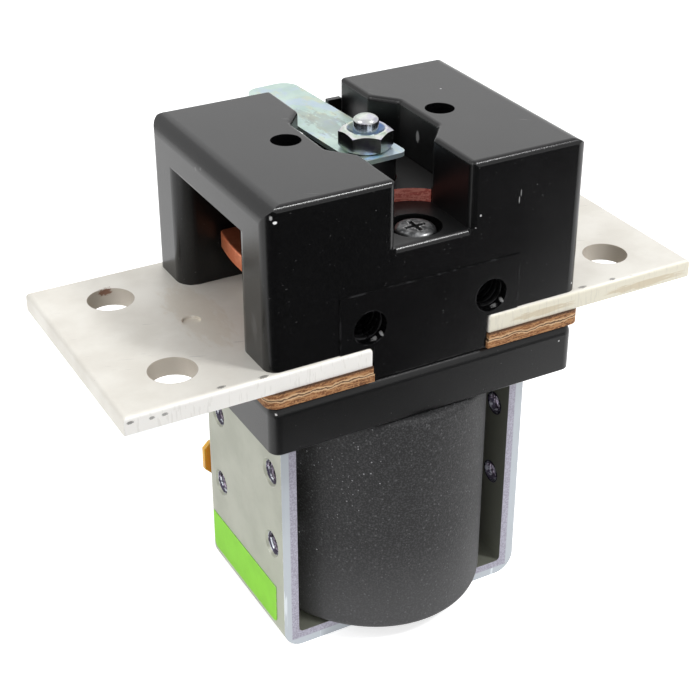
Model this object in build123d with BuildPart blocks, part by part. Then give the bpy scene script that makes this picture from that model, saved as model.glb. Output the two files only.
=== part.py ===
from build123d import *
import math
import os

# A single-pole direct-current contactor on a U-shaped steel frame.
# X runs along the busbars, Y from front to back, Z up. The origin is the middle of the frame's underside.
# All sizes are millimetres. The armature is modelled at rest, with the contacts open.

# Frame and magnetic circuit
frame_thickness = 4.0
frame_width = 41.4
frame_gap = 59.6
frame_bend_radius = 1.2
side_hole_radius = 2.5
side_hole_sink_radius = 3.6
side_hole_pitch_y = 29.2
side_hole_pitch_z = 21.0
side_hole_centre_z = 39.3
pole_plate_thickness = 4.0
pole_plate_depth = 55.0
pole_plate_bore_radius = 12.8
core_radius = 12.5
core_height = 20.0
core_shank_radius = 5.0
spring_seat_radius = 6.6
core_seat_depth = 5.0
plunger_clearance = 0.05
plunger_rise = 2.5
plunger_socket_depth = 10.0
plunger_bore_depth = 22.0
plunger_chamfer = 0.8

# Coil
coil_height = 61.5
coil_half_width = 29.5
coil_half_depth = 33.0
coil_skin = 1.5
coil_edge_radius = 2.0
coil_end_clearance = 0.2
guide_tube_wall = 0.8
bobbin_wall = 1.4
bobbin_flange = 2.0
nesting_clearance = 0.05

# Coil terminals
board_half_length = 30.4
board_height = 9.9
board_thickness = 1.4
board_centre_z = 23.65
board_end_chamfer = 1.8
tab_spacing = 32.0
tab_width = 6.3
tab_thickness = 0.8
tab_length = 8.0
tab_foot_height = 8.0
rivet_radius = 1.2
rivet_head_radius = 2.1
rivet_head_height = 0.7

# Label on the left leg
label_front_y = -16.5
label_back_y = 20.3
label_height = 11.4
label_gap_from_bend = 0.1
label_thickness = 0.12
label_corner_radius = 1.8

# Base moulding
base_end_step = 0.4
base_side_step = 0.3
base_above_plate = 9.0
base_corner_radius = 2.5
base_top_radius = 3.0
base_bottom_chamfer = 0.4
pocket_clearance = 0.15
spindle_guide_clearance = 0.08

# Fibre pads and busbars
pad_ply_thickness = 2.0
pad_overhang = 1.1
pad_side_step = 0.3
pad_corner_radius = 2.8
lower_ply_step = 0.3
busbar_thickness = 4.5
busbar_length = 59.1
busbar_depth = 62.2
busbar_edge_radius = 1.1
busbar_corner_radius = 0.4
busbar_hole_radius = 5.5
busbar_hole_from_end = 16.5
busbar_hole_pitch = 36.6
dimple_radius = 2.25
dimple_depth = 0.6
dimple_from_end = 29.0

# Contacts
contact_gap = 5.0
armature_travel = 6.0
contact_touch_clearance = 0.02
fixed_tip_thickness = 2.5
moving_tip_thickness = 2.5
tip_length = 5.3
tip_depth = 16.0
tip_end_margin = 3.0
tip_corner_radius = 1.0
bridge_thickness = 4.0
bridge_end_clearance = 0.7
bridge_side_clearance = 1.7
bridge_end_bulge = 1.5
bridge_corner_radius = 1.2
bridge_edge_radius = 0.5

# Cover moulding
cover_length = 81.6
cover_depth = 60.8
cover_height = 39.0
cover_corner_radius = 3.0
cover_side_top_radius = 4.2
cover_end_top_radius = 1.4
inner_edge_radius = 1.2
channel_width = 19.0
deck_drop = 16.0
deck_thickness = 2.5
deck_lip_radius = 1.5
mouth_edge_radius = 1.7
pocket_width = 29.0
pocket_front_y = -8.0
pocket_back_y = 9.5
pocket_slope_y = 6.0
pocket_round_radius = 2.0
cross_wall_thickness = 1.5
cross_wall_drop = 5.0
strap_notch_side = 5.7
strap_notch_clearance = 0.5
chamber_end_wall = 7.1
chamber_front_wall = 15.2
chamber_side_wall = 2.6
arch_height = 29.6
arch_edge_radius = 4.3
chamber_lintel = 2.4
core_pocket_wall = 3.0
core_pocket_roof = 5.0
core_pocket_length = 14.5
core_pocket_end_wall = 3.8
core_pocket_round = 1.0
tee_width = 30.0
tee_gap = 0.1
front_panel_width = 46.8
front_panel_height = 14.0
front_panel_step = 0.3
top_hole_radius = 3.55
top_hole_spacing = 40.4
top_hole_y = 0.6
top_hole_depth = 5.0
front_hole_radius = 4.15
front_hole_spacing = 31.8
front_hole_above_bar = 5.1
front_hole_depth = 11.0

# Cover screws
screw_from_side = 7.9
screw_sink_radius = 6.2
screw_sink_depth = 3.0
screw_head_radius = 4.8
screw_head_height = 2.9
screw_head_edge_radius = 1.2
screw_radius = 2.4
screw_hole_clearance = 0.3
screw_recess_width = 1.1
screw_recess_length = 5.2
screw_recess_depth = 1.3

# Guide block in the cover's pocket
block_thickness = 3.2
block_clearance = 0.2
block_back_y = 11.0
block_scoop_radius = 13.0
block_bore_clearance = 0.25
deck_bore_clearance = 0.6

# Parts on the spindle
spindle_radius = 3.5
thread_radius = 3.0
thread_stand = 4.4
thread_fit = 0.05
cup_radius = 7.0
cup_wall = 1.0
cup_top_thickness = 3.0
cup_mouth_clearance = 0.3
strap_running_gap = 0.2
strap_width = 13.7
strap_thickness = 1.1
strap_front_reach = 7.2
strap_back_reach = 46.7
strap_yaw = 3.2
strap_front_corner_radius = 2.0
strap_back_corner_radius = 4.2
nut_sides = 6
nut_across_flats = 11.1
nut_height = 4.8
nut_face_radius = 5.0
nut_sink_radius = 4.5
nut_sink_depth = 1.2
nut_chamfer_angle = 30.0
nut_turn = 33.0
bush_neck_radius = 4.5
bush_neck_rise = 2.0
bush_flange_radius = 7.0
bush_flange_thickness = 3.0
bush_slide_clearance = 0.08
bush_seat_gap = 0.02
clip_thickness = 0.9
clip_radius = 5.4
clip_groove_depth = 0.6
clip_fit = 0.03
clip_opening = 3.0

# Springs
contact_spring_wire_radius = 0.55
contact_spring_coil_radius = 5.3
contact_spring_turns = 5.0
return_spring_wire_radius = 0.7
return_spring_coil_radius = 5.5
return_spring_turns = 7.0

# Levels that follow from the sizes above
plate_bottom = frame_thickness + coil_height
plate_top = plate_bottom + pole_plate_thickness
base_top = plate_top + base_above_plate
bar_bottom = base_top + 2 * pad_ply_thickness
bar_top = bar_bottom + busbar_thickness
bridge_bottom = bar_top + fixed_tip_thickness + contact_gap + moving_tip_thickness
bridge_top = bridge_bottom + bridge_thickness
cover_top = bar_top + cover_height
deck_top = cover_top - deck_drop
deck_bottom = deck_top - deck_thickness
block_top = deck_top + block_thickness
strap_bottom = block_top + armature_travel + strap_running_gap
strap_top = strap_bottom + strap_thickness
nut_top = strap_top + nut_height
cup_shoulder = strap_bottom - cup_top_thickness
core_top = frame_thickness + core_height
plunger_bottom = core_top + armature_travel + plunger_clearance
plunger_top = plate_bottom + plunger_rise
overtravel = armature_travel - contact_gap + contact_touch_clearance

# Places along X and Y that follow from the sizes above
half_length = cover_length / 2
half_depth = cover_depth / 2
base_length = cover_length - 2 * base_end_step
base_depth = cover_depth + 2 * base_side_step
pad_depth = busbar_depth + 2 * pad_side_step
chamber_length = cover_length - 2 * chamber_end_wall
chamber_depth = cover_depth - 2 * chamber_front_wall
leg_inside = frame_gap / 2
leg_outside = leg_inside + frame_thickness
pad_start = tee_width / 2 + tee_gap
bar_start = pad_start + lower_ply_step
bar_end = bar_start + busbar_length
screw_y = half_depth - screw_from_side
bridge_half_length = chamber_length / 2 - bridge_end_clearance
bridge_half_depth = chamber_depth / 2 - bridge_side_clearance
tip_outer_end = bridge_half_length - bridge_end_bulge - tip_end_margin
tip_centre = tip_outer_end - tip_length / 2
guide_tube_radius = core_radius + plunger_clearance
bobbin_bore_radius = guide_tube_radius + guide_tube_wall + nesting_clearance
bobbin_tube_radius = bobbin_bore_radius + bobbin_wall
screw_hole_radius = screw_radius + screw_hole_clearance
board_front = coil_half_depth + nesting_clearance
board_back = board_front + board_thickness

os.makedirs("parts", exist_ok=True)
sides = ((-1, "left"), (1, "right"))


def tube(outer_radius, inner_radius, bottom, top):
    """An upright tube on the Z axis, added to the part that is being built."""
    with BuildSketch(Plane.XY.offset(bottom)) as ring:
        Circle(outer_radius)
        Circle(inner_radius, mode=Mode.SUBTRACT)
    extrude(ring.sketch, amount=top - bottom)


def upright_hole(radius, bottom, top, places=((0, 0),)):
    """Upright round holes through the part that is being built."""
    with BuildSketch(Plane.XY.offset(bottom)) as openings:
        with Locations(*places):
            Circle(radius)
    extrude(openings.sketch, amount=top - bottom, mode=Mode.SUBTRACT)


def coil_spring(coil_radius, wire_radius, turns, bottom, top):
    """A compression spring whose end turns lie against the seats at bottom and top."""
    height = top - bottom - 2 * wire_radius
    with BuildPart() as spring:
        with BuildLine() as wire_path:
            Helix(height / turns, height, coil_radius, center=(0, 0, bottom + wire_radius))
        with BuildSketch(Plane(origin=wire_path.line @ 0, z_dir=wire_path.line % 0)):
            Circle(wire_radius)
        sweep(is_frenet=True)
    return spring


# Frame: one strip bent to a U, with four countersunk threaded holes in each leg
with BuildPart() as frame:
    with BuildSketch(Plane.XZ):
        with BuildLine():
            outside = FilletPolyline(
                (leg_outside, plate_top),
                (leg_outside, 0),
                (-leg_outside, 0),
                (-leg_outside, plate_top),
                radius=frame_bend_radius + frame_thickness,
            )
            inside = FilletPolyline(
                (leg_inside, plate_top),
                (leg_inside, frame_thickness),
                (-leg_inside, frame_thickness),
                (-leg_inside, plate_top),
                radius=frame_bend_radius,
            )
            Line(outside @ 0, inside @ 0)
            Line(outside @ 1, inside @ 1)
        make_face()
    extrude(amount=frame_width / 2, both=True)
    upright_hole(core_shank_radius, 0, frame_thickness)
    for side, side_name in sides:
        leg_centre = (side * leg_outside, 0, side_hole_centre_z)
        leg_face = Plane(origin=leg_centre, x_dir=(0, side, 0), z_dir=(side, 0, 0))
        with Locations(leg_face):
            with GridLocations(side_hole_pitch_y, side_hole_pitch_z, 2, 2):
                CounterSinkHole(side_hole_radius, side_hole_sink_radius, depth=frame_thickness)
frame.part.label = "frame"
export_step(frame.part, "parts/frame.step")

# Pole plate: lies between the tops of the legs and takes the two cover screws
with BuildPart() as pole_plate:
    with BuildSketch(Plane.XY.offset(plate_bottom)):
        Rectangle(frame_gap, pole_plate_depth)
        Circle(pole_plate_bore_radius, mode=Mode.SUBTRACT)
        with GridLocations(0, 2 * screw_y, 1, 2):
            Circle(screw_radius, mode=Mode.SUBTRACT)
    extrude(amount=pole_plate_thickness)
pole_plate.part.label = "pole_plate"
export_step(pole_plate.part, "parts/pole_plate.step")

# Fixed core: its shank is staked flush in the frame, and a seat in its top holds the return spring
with BuildPart() as core:
    with BuildSketch():
        Circle(core_shank_radius)
    extrude(amount=frame_thickness)
    with BuildSketch(Plane.XY.offset(frame_thickness)):
        Circle(core_radius)
    extrude(amount=core_height)
    upright_hole(spring_seat_radius, core_top - core_seat_depth, core_top)
core.part.label = "core"
export_step(core.part, "parts/core.step")

# Guide tube: thin brass liner between the core, the plunger and the bobbin
with BuildPart() as guide_tube:
    tube(
        guide_tube_radius + guide_tube_wall,
        guide_tube_radius,
        frame_thickness,
        plate_bottom - coil_end_clearance,
    )
guide_tube.part.label = "guide_tube"
export_step(guide_tube.part, "parts/guide_tube.step")

# Bobbin: moulded tube with an oval flange inside each end of the coil's skin
flange_half_width = coil_half_width - coil_skin - nesting_clearance
flange_half_depth = coil_half_depth - coil_skin - nesting_clearance
flange_bottom = frame_thickness + coil_end_clearance + coil_skin + nesting_clearance
flange_top = plate_bottom - coil_end_clearance - coil_skin - nesting_clearance
with BuildPart() as bobbin:
    for flange_level in (flange_bottom, flange_top - bobbin_flange):
        with BuildSketch(Plane.XY.offset(flange_level)):
            Ellipse(flange_half_width, flange_half_depth)
        extrude(amount=bobbin_flange)
    with BuildSketch(Plane.XY.offset(frame_thickness)):
        Circle(bobbin_tube_radius)
    extrude(amount=coil_height - coil_end_clearance)
    upright_hole(bobbin_bore_radius, frame_thickness, plate_bottom)
bobbin.part.label = "bobbin"
export_step(bobbin.part, "parts/bobbin.step")

# Winding: fills the bobbin between its flanges
with BuildPart() as winding:
    with BuildSketch(Plane.XY.offset(flange_bottom + bobbin_flange)):
        Ellipse(flange_half_width, flange_half_depth)
        Circle(bobbin_tube_radius, mode=Mode.SUBTRACT)
    extrude(amount=flange_top - flange_bottom - 2 * bobbin_flange)
winding.part.label = "winding"
export_step(winding.part, "parts/winding.step")

# Coil jacket: oval skin moulded round the winding, with rounded rims
with BuildPart() as coil_jacket:
    with BuildSketch(Plane.XY.offset(frame_thickness + coil_end_clearance)):
        Ellipse(coil_half_width, coil_half_depth)
    extrude(amount=coil_height - 2 * coil_end_clearance)
    fillet(coil_jacket.edges(), radius=coil_edge_radius)
    with BuildSketch(Plane.XY.offset(flange_bottom - nesting_clearance)):
        Ellipse(flange_half_width + nesting_clearance, flange_half_depth + nesting_clearance)
    extrude(amount=flange_top - flange_bottom + 2 * nesting_clearance, mode=Mode.SUBTRACT)
    upright_hole(bobbin_tube_radius + nesting_clearance, frame_thickness, plate_bottom)
coil_jacket.part.label = "coil_jacket"
export_step(coil_jacket.part, "parts/coil_jacket.step")

# Terminal board: lashed flat against the back of the coil
with BuildPart() as terminal_board:
    with BuildSketch(Plane.XZ.offset(-board_back)) as board_outline:
        with Locations((0, board_centre_z)):
            Rectangle(2 * board_half_length, board_height)
        chamfer(board_outline.vertices(), length=board_end_chamfer)
        with Locations((-tab_spacing / 2, board_centre_z), (tab_spacing / 2, board_centre_z)):
            Circle(rivet_radius, mode=Mode.SUBTRACT)
    extrude(amount=board_thickness)
terminal_board.part.label = "terminal_board"
export_step(terminal_board.part, "parts/terminal_board.step")

# Coil terminals: two spade tabs with a foot riveted to the board and a blade that points backwards
tab_foot_bottom = board_centre_z - tab_foot_height / 2
with BuildPart() as coil_tabs:
    for side, side_name in sides:
        with BuildSketch(Plane.YZ.offset(side * tab_spacing / 2 - tab_width / 2)):
            with BuildLine():
                Polyline(
                    (board_back, tab_foot_bottom),
                    (board_back + tab_length, tab_foot_bottom),
                    (board_back + tab_length, tab_foot_bottom + tab_thickness),
                    (board_back + tab_thickness, tab_foot_bottom + tab_thickness),
                    (board_back + tab_thickness, tab_foot_bottom + tab_foot_height),
                    (board_back, tab_foot_bottom + tab_foot_height),
                    close=True,
                )
            make_face()
        extrude(amount=tab_width)
    with BuildSketch(Plane.XZ.offset(-board_back - tab_thickness)):
        with Locations((-tab_spacing / 2, board_centre_z), (tab_spacing / 2, board_centre_z)):
            Circle(rivet_radius)
    extrude(amount=tab_thickness, mode=Mode.SUBTRACT)
    blade_tips = coil_tabs.edges().filter_by(Axis.Z).group_by(Axis.Y)[-1]
    chamfer(blade_tips, length=tab_width / 6)
coil_tabs.part.label = "coil_tabs"
export_step(coil_tabs.part, "parts/coil_tabs.step")

# Rivets: hold the tabs to the board, headed behind and flush in front
with BuildPart() as tab_rivets:
    with BuildSketch(Plane.XZ.offset(-board_front)):
        with Locations((-tab_spacing / 2, board_centre_z), (tab_spacing / 2, board_centre_z)):
            Circle(rivet_radius)
    extrude(amount=-board_thickness - tab_thickness)
    with BuildSketch(Plane.XZ.offset(-board_back - tab_thickness)):
        with Locations((-tab_spacing / 2, board_centre_z), (tab_spacing / 2, board_centre_z)):
            Circle(rivet_head_radius)
    extrude(amount=-rivet_head_height)
tab_rivets.part.label = "tab_rivets"
export_step(tab_rivets.part, "parts/tab_rivets.step")

# Label: bare skin on the outside of the left leg, just above the bend
label_bottom = frame_bend_radius + frame_thickness + label_gap_from_bend
with BuildPart() as label:
    with BuildSketch(Plane.YZ.offset(-leg_outside - label_thickness)) as label_outline:
        with Locations(((label_front_y + label_back_y) / 2, label_bottom + label_height / 2)):
            Rectangle(label_back_y - label_front_y, label_height)
        fillet(label_outline.vertices().group_by(Axis.Y)[0], radius=label_corner_radius)
    extrude(amount=label_thickness)
label.part.label = "label"
export_step(label.part, "parts/label.step")

# Base moulding: sits over the frame, with a pocket below for the pole plate and the tops of the legs
with BuildPart() as base:
    with BuildSketch(Plane.XY.offset(plate_bottom)):
        RectangleRounded(base_length, base_depth, base_corner_radius)
    extrude(amount=base_top - plate_bottom)
    fillet(base.faces().sort_by(Axis.Z)[-1].edges(), radius=base_top_radius)
    chamfer(base.faces().sort_by(Axis.Z)[0].edges(), length=base_bottom_chamfer)
    with BuildSketch(Plane.XY.offset(plate_bottom)):
        Rectangle(frame_gap, pole_plate_depth + 2 * pocket_clearance)
        Rectangle(2 * (leg_outside + pocket_clearance), frame_width + 2 * pocket_clearance)
    extrude(amount=pole_plate_thickness, mode=Mode.SUBTRACT)
    upright_hole(spindle_radius + spindle_guide_clearance, plate_top, base_top)
    upright_hole(screw_hole_radius, plate_top, base_top, ((0, -screw_y), (0, screw_y)))
base.part.label = "base"
export_step(base.part, "parts/base.step")

# Fibre pads: two plies under each busbar, the lower one a little longer towards the middle
pad_end = base_length / 2 + pad_overhang
for side, side_name in sides:
    for level, ply_name, ply_start in ((0, "lower", pad_start), (1, "upper", bar_start)):
        with BuildPart() as pad:
            with BuildSketch(Plane.XY.offset(base_top + level * pad_ply_thickness)) as ply_outline:
                with Locations((side * (ply_start + pad_end) / 2, 0)):
                    Rectangle(pad_end - ply_start, pad_depth)
                outer_corners = ply_outline.vertices().group_by(Axis.X)[-1 if side > 0 else 0]
                fillet(outer_corners, radius=pad_corner_radius)
            extrude(amount=pad_ply_thickness)
        pad.part.label = f"pad_{side_name}_{ply_name}"
        export_step(pad.part, f"parts/pad_{side_name}_{ply_name}.step")

# Busbars: thick plated bars with two bolt holes and a punched dimple
for side, side_name in sides:
    with BuildPart() as busbar:
        with BuildSketch(Plane.XY.offset(bar_bottom)):
            with Locations((side * (bar_start + bar_end) / 2, 0)):
                RectangleRounded(busbar_length, busbar_depth, busbar_corner_radius)
        extrude(amount=busbar_thickness)
        fillet(busbar.faces().sort_by(Axis.Z)[-1].edges(), radius=busbar_edge_radius)
        bolt_x = side * (bar_end - busbar_hole_from_end)
        bolt_places = ((bolt_x, -busbar_hole_pitch / 2), (bolt_x, busbar_hole_pitch / 2))
        upright_hole(busbar_hole_radius, bar_bottom, bar_top, bolt_places)
        dimple_place = (side * (bar_end - dimple_from_end), 0)
        upright_hole(dimple_radius, bar_top - dimple_depth, bar_top, (dimple_place,))
    busbar.part.label = f"busbar_{side_name}"
    export_step(busbar.part, f"parts/busbar_{side_name}.step")

# Contact tips: silver pads brazed on the busbars and under the ends of the bridge
for side, side_name in sides:
    for tip_name, tip_bottom, tip_thickness, striking_face in (
        ("fixed_tip", bar_top, fixed_tip_thickness, -1),
        ("bridge_tip", bridge_bottom - moving_tip_thickness, moving_tip_thickness, 0),
    ):
        with BuildPart() as tip:
            with BuildSketch(Plane.XY.offset(tip_bottom)):
                with Locations((side * tip_centre, 0)):
                    RectangleRounded(tip_length, tip_depth, tip_corner_radius)
            extrude(amount=tip_thickness)
            fillet(tip.faces().sort_by(Axis.Z)[striking_face].edges(), radius=tip_corner_radius / 2)
        tip.part.label = f"{tip_name}_{side_name}"
        export_step(tip.part, f"parts/{tip_name}_{side_name}.step")

# Bridge: copper bar with bowed ends that joins the two busbars when the contacts close
with BuildPart() as bridge:
    with BuildSketch(Plane.XY.offset(bridge_bottom)) as bridge_outline:
        with BuildLine():
            corner_x = bridge_half_length - bridge_end_bulge
            for side, side_name in sides:
                front_corner = (side * corner_x, -bridge_half_depth)
                back_corner = (side * corner_x, bridge_half_depth)
                ThreePointArc(front_corner, (side * bridge_half_length, 0), back_corner)
                Line((-corner_x, side * bridge_half_depth), (corner_x, side * bridge_half_depth))
        make_face()
        fillet(bridge_outline.vertices(), radius=bridge_corner_radius)
    extrude(amount=bridge_thickness)
    fillet(bridge.faces().sort_by(Axis.Z)[-1].edges(), radius=bridge_edge_radius)
    upright_hole(bush_neck_radius + bush_slide_clearance, bridge_bottom, bridge_top)
bridge.part.label = "bridge"
export_step(bridge.part, "parts/bridge.step")


def pocket_outline(clearance):
    """The pocket in the cover's top, seen from above, drawn in by a clearance all round."""
    wide = pocket_width / 2
    narrow = channel_width / 2
    with BuildSketch() as outline:
        with BuildLine():
            Polyline(
                (wide, pocket_front_y),
                (wide, pocket_back_y),
                (narrow, pocket_back_y + pocket_slope_y),
                (-narrow, pocket_back_y + pocket_slope_y),
                (-wide, pocket_back_y),
                (-wide, pocket_front_y),
                (-narrow, pocket_front_y - pocket_slope_y),
                (narrow, pocket_front_y - pocket_slope_y),
                close=True,
            )
        make_face()
        offset(amount=-clearance)
    return outline.sketch


# Cover: the outer shape is what three rounded profiles have in common, seen from above, front and side
chamber_top = bar_top + arch_height + chamber_lintel
with BuildPart() as cover:
    with BuildSketch(Plane.XY.offset(bar_top)):
        RectangleRounded(cover_length, cover_depth, cover_corner_radius)
    extrude(amount=cover_height)
    with BuildSketch(Plane.XZ) as front_profile:
        with Locations((0, bar_top + cover_height / 2)):
            Rectangle(cover_length, cover_height)
        fillet(front_profile.vertices().group_by(Axis.Y)[-1], radius=cover_side_top_radius)
    extrude(amount=cover_depth, both=True, mode=Mode.INTERSECT)
    with BuildSketch(Plane.YZ) as side_profile:
        with Locations((0, bar_top + cover_height / 2)):
            Rectangle(cover_depth, cover_height)
        fillet(side_profile.vertices().group_by(Axis.Y)[-1], radius=cover_end_top_radius)
    extrude(amount=cover_length, both=True, mode=Mode.INTERSECT)

    # Channel across the top and the wider pocket in its middle
    with BuildSketch(Plane.XY.offset(deck_top)) as top_opening:
        Rectangle(channel_width, 2 * cover_depth)
        add(pocket_outline(0))
        inner_corners = [corner for corner in top_opening.vertices() if abs(corner.Y) < half_depth]
        fillet(inner_corners, radius=pocket_round_radius)
    extrude(amount=cover_height, mode=Mode.SUBTRACT)
    top_edges = cover.faces().filter_by(Axis.Z).group_by(Axis.Z)[-1].edges()
    inner_rim = top_edges.filter_by(lambda edge: abs(edge.center().X) <= pocket_width / 2 + 0.01)
    fillet(inner_rim, radius=inner_edge_radius)

    # Upright edges of the channel rounded at both of its mouths
    mouth_x = channel_width / 2 + mouth_edge_radius
    mouth_y = half_depth - mouth_edge_radius
    with BuildSketch(Plane.XY.offset(deck_top)):
        with GridLocations(2 * mouth_x - mouth_edge_radius, 2 * mouth_y + mouth_edge_radius, 2, 2):
            Rectangle(mouth_edge_radius, mouth_edge_radius)
        with GridLocations(2 * mouth_x, 2 * mouth_y, 2, 2):
            Circle(mouth_edge_radius, mode=Mode.SUBTRACT)
    extrude(amount=cover_height, mode=Mode.SUBTRACT)

    # Wall across the back end of the channel, cut down where the strap passes
    wall_top = cover_top - cross_wall_drop
    notch_floor = strap_bottom - armature_travel - strap_notch_clearance
    with BuildSketch(Plane.XZ.offset(-half_depth)):
        with Locations((0, (deck_top + notch_floor) / 2)):
            Rectangle(channel_width, notch_floor - deck_top)
        with Locations(((strap_notch_side + channel_width / 2) / 2, (deck_top + wall_top) / 2)):
            Rectangle(channel_width / 2 - strap_notch_side, wall_top - deck_top)
    extrude(amount=cross_wall_thickness)

    # Rounded front lip of the deck
    with BuildSketch(Plane.YZ):
        with Locations((deck_lip_radius / 2 - half_depth, deck_top - deck_lip_radius / 2)):
            Rectangle(deck_lip_radius, deck_lip_radius)
        with Locations((deck_lip_radius - half_depth, deck_top - deck_lip_radius)):
            Circle(deck_lip_radius, mode=Mode.SUBTRACT)
    extrude(amount=channel_width / 2, both=True, mode=Mode.SUBTRACT)

    # Tee legs that fill the gap between the busbars, and the low panel on the front
    for side, side_name in sides:
        with BuildSketch(Plane.XY.offset(base_top + tee_gap)):
            with Locations((0, side * (half_depth - chamber_front_wall / 2))):
                Rectangle(tee_width, chamber_front_wall)
        extrude(amount=bar_top - base_top - tee_gap)
    with BuildSketch(Plane.XZ.offset(half_depth)):
        with Locations((0, bar_top + front_panel_height / 2)):
            Rectangle(front_panel_width, front_panel_height)
        with Locations((0, (base_top + tee_gap + bar_top) / 2)):
            Rectangle(tee_width, bar_top - base_top - tee_gap)
    extrude(amount=front_panel_step)

    # Contact chamber, taller at both ends, with an arch through each end wall
    with BuildSketch(Plane.XY.offset(bar_top)):
        Rectangle(chamber_length, chamber_depth)
    extrude(amount=deck_bottom - bar_top, mode=Mode.SUBTRACT)
    for side, side_name in sides:
        tall_start = pocket_width / 2 + chamber_side_wall
        tall_length = chamber_length / 2 - tall_start
        with BuildSketch(Plane.XY.offset(bar_top)):
            with Locations((side * (tall_start + tall_length / 2), 0)):
                Rectangle(tall_length, chamber_depth)
        extrude(amount=chamber_top - bar_top, mode=Mode.SUBTRACT)
        with BuildSketch(Plane.XY.offset(bar_top)):
            with Locations((side * (half_length - chamber_end_wall / 2), 0)):
                Rectangle(chamber_end_wall, chamber_depth)
        extrude(amount=arch_height, mode=Mode.SUBTRACT)
        arch_edges = cover.edges().filter_by(Axis.Z).group_by(Axis.X)[-1 if side > 0 else 0]
        fillet(arch_edges, radius=arch_edge_radius)

    # Hollows that keep the corner walls even, open towards the busbars
    hollow_depth = chamber_front_wall - 2 * core_pocket_wall
    hollow_y = half_depth - chamber_front_wall / 2
    hollow_x = half_length - core_pocket_end_wall - core_pocket_length / 2
    with BuildSketch(Plane.XY.offset(bar_top)):
        with GridLocations(2 * hollow_x, 2 * hollow_y, 2, 2):
            RectangleRounded(core_pocket_length, hollow_depth, core_pocket_round)
    extrude(amount=cover_height - core_pocket_roof, mode=Mode.SUBTRACT)

    # Holes: screws with their sinks, spring cup, two blind holes on top and two in front
    screw_places = ((0, -screw_y), (0, screw_y))
    upright_hole(screw_hole_radius, base_top, deck_top, screw_places)
    upright_hole(screw_sink_radius, deck_top - screw_sink_depth, deck_top, screw_places)
    upright_hole(cup_radius + deck_bore_clearance, deck_bottom, deck_top)
    top_places = ((-top_hole_spacing / 2, top_hole_y), (top_hole_spacing / 2, top_hole_y))
    upright_hole(top_hole_radius, cover_top - top_hole_depth, cover_top, top_places)
    with BuildSketch(Plane.XZ.offset(half_depth + front_panel_step)):
        with Locations((0, bar_top + front_hole_above_bar)):
            with GridLocations(front_hole_spacing, 0, 2, 1):
                Circle(front_hole_radius)
    extrude(amount=-front_hole_depth, mode=Mode.SUBTRACT)
cover.part.label = "cover"
export_step(cover.part, "parts/cover.step")

# Cover screws: long pan-head screws that clamp cover, busbars, pads and base to the pole plate
screw_seat = deck_top - screw_sink_depth
with BuildPart() as cover_screws:
    with BuildSketch(Plane.XY.offset(plate_bottom)):
        with GridLocations(0, 2 * screw_y, 1, 2):
            Circle(screw_radius)
    extrude(amount=screw_seat - plate_bottom)
    with BuildSketch(Plane.XY.offset(screw_seat)):
        with GridLocations(0, 2 * screw_y, 1, 2):
            Circle(screw_head_radius)
    extrude(amount=screw_head_height)
    head_rims = cover_screws.edges().filter_by(GeomType.CIRCLE).group_by(Axis.Z)[-1]
    fillet(head_rims, radius=screw_head_edge_radius)
    with BuildSketch(Plane.XY.offset(screw_seat + screw_head_height)):
        with GridLocations(0, 2 * screw_y, 1, 2):
            Rectangle(screw_recess_width, screw_recess_length)
            Rectangle(screw_recess_length, screw_recess_width)
    extrude(amount=-screw_recess_depth, mode=Mode.SUBTRACT)
cover_screws.part.label = "cover_screws"
export_step(cover_screws.part, "parts/cover_screws.step")

# Guide block: fibre block that fills the pocket, scooped out in front of the screw and bored for the cup
with BuildPart() as guide_block:
    with BuildSketch(Plane.XY.offset(deck_top)):
        add(pocket_outline(block_clearance))
        with Locations((0, block_back_y + pocket_width / 2)):
            Rectangle(pocket_width, pocket_width, mode=Mode.SUBTRACT)
        with Locations((0, -screw_y)):
            Circle(block_scoop_radius, mode=Mode.SUBTRACT)
        Circle(cup_radius + block_bore_clearance, mode=Mode.SUBTRACT)
    extrude(amount=block_thickness)
guide_block.part.label = "guide_block"
export_step(guide_block.part, "parts/guide_block.step")

# Plunger: bored from below for the return spring and from above for the spindle
with BuildPart() as plunger:
    with BuildSketch(Plane.XY.offset(plunger_bottom)):
        Circle(core_radius)
    extrude(amount=plunger_top - plunger_bottom)
    chamfer(plunger.edges(), length=plunger_chamfer)
    upright_hole(spring_seat_radius, plunger_bottom, plunger_bottom + plunger_bore_depth)
    upright_hole(spindle_radius, plunger_top - plunger_socket_depth, plunger_top)
plunger.part.label = "plunger"
export_step(plunger.part, "parts/plunger.step")

# Spindle: fixed in the plunger, grooved for the clip, and stepped down to a thread above the cup's seat
clip_top = bridge_bottom - bush_seat_gap - bush_flange_thickness
groove_radius = spindle_radius - clip_groove_depth
thread_end = nut_top + thread_stand
with BuildPart() as spindle:
    with BuildSketch(Plane.XZ):
        with BuildLine():
            Polyline(
                (0, plunger_top - plunger_socket_depth),
                (spindle_radius, plunger_top - plunger_socket_depth),
                (spindle_radius, clip_top - clip_thickness - clip_fit),
                (groove_radius, clip_top - clip_thickness - clip_fit),
                (groove_radius, clip_top),
                (spindle_radius, clip_top),
                (spindle_radius, cup_shoulder),
                (thread_radius, cup_shoulder),
                (thread_radius, thread_end - thread_radius),
            )
            RadiusArc((thread_radius, thread_end - thread_radius), (0, thread_end), -thread_radius)
            Line((0, thread_end), (0, plunger_top - plunger_socket_depth))
        make_face()
    revolve(axis=Axis.Z)
spindle.part.label = "spindle"
export_step(spindle.part, "parts/spindle.step")

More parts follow.
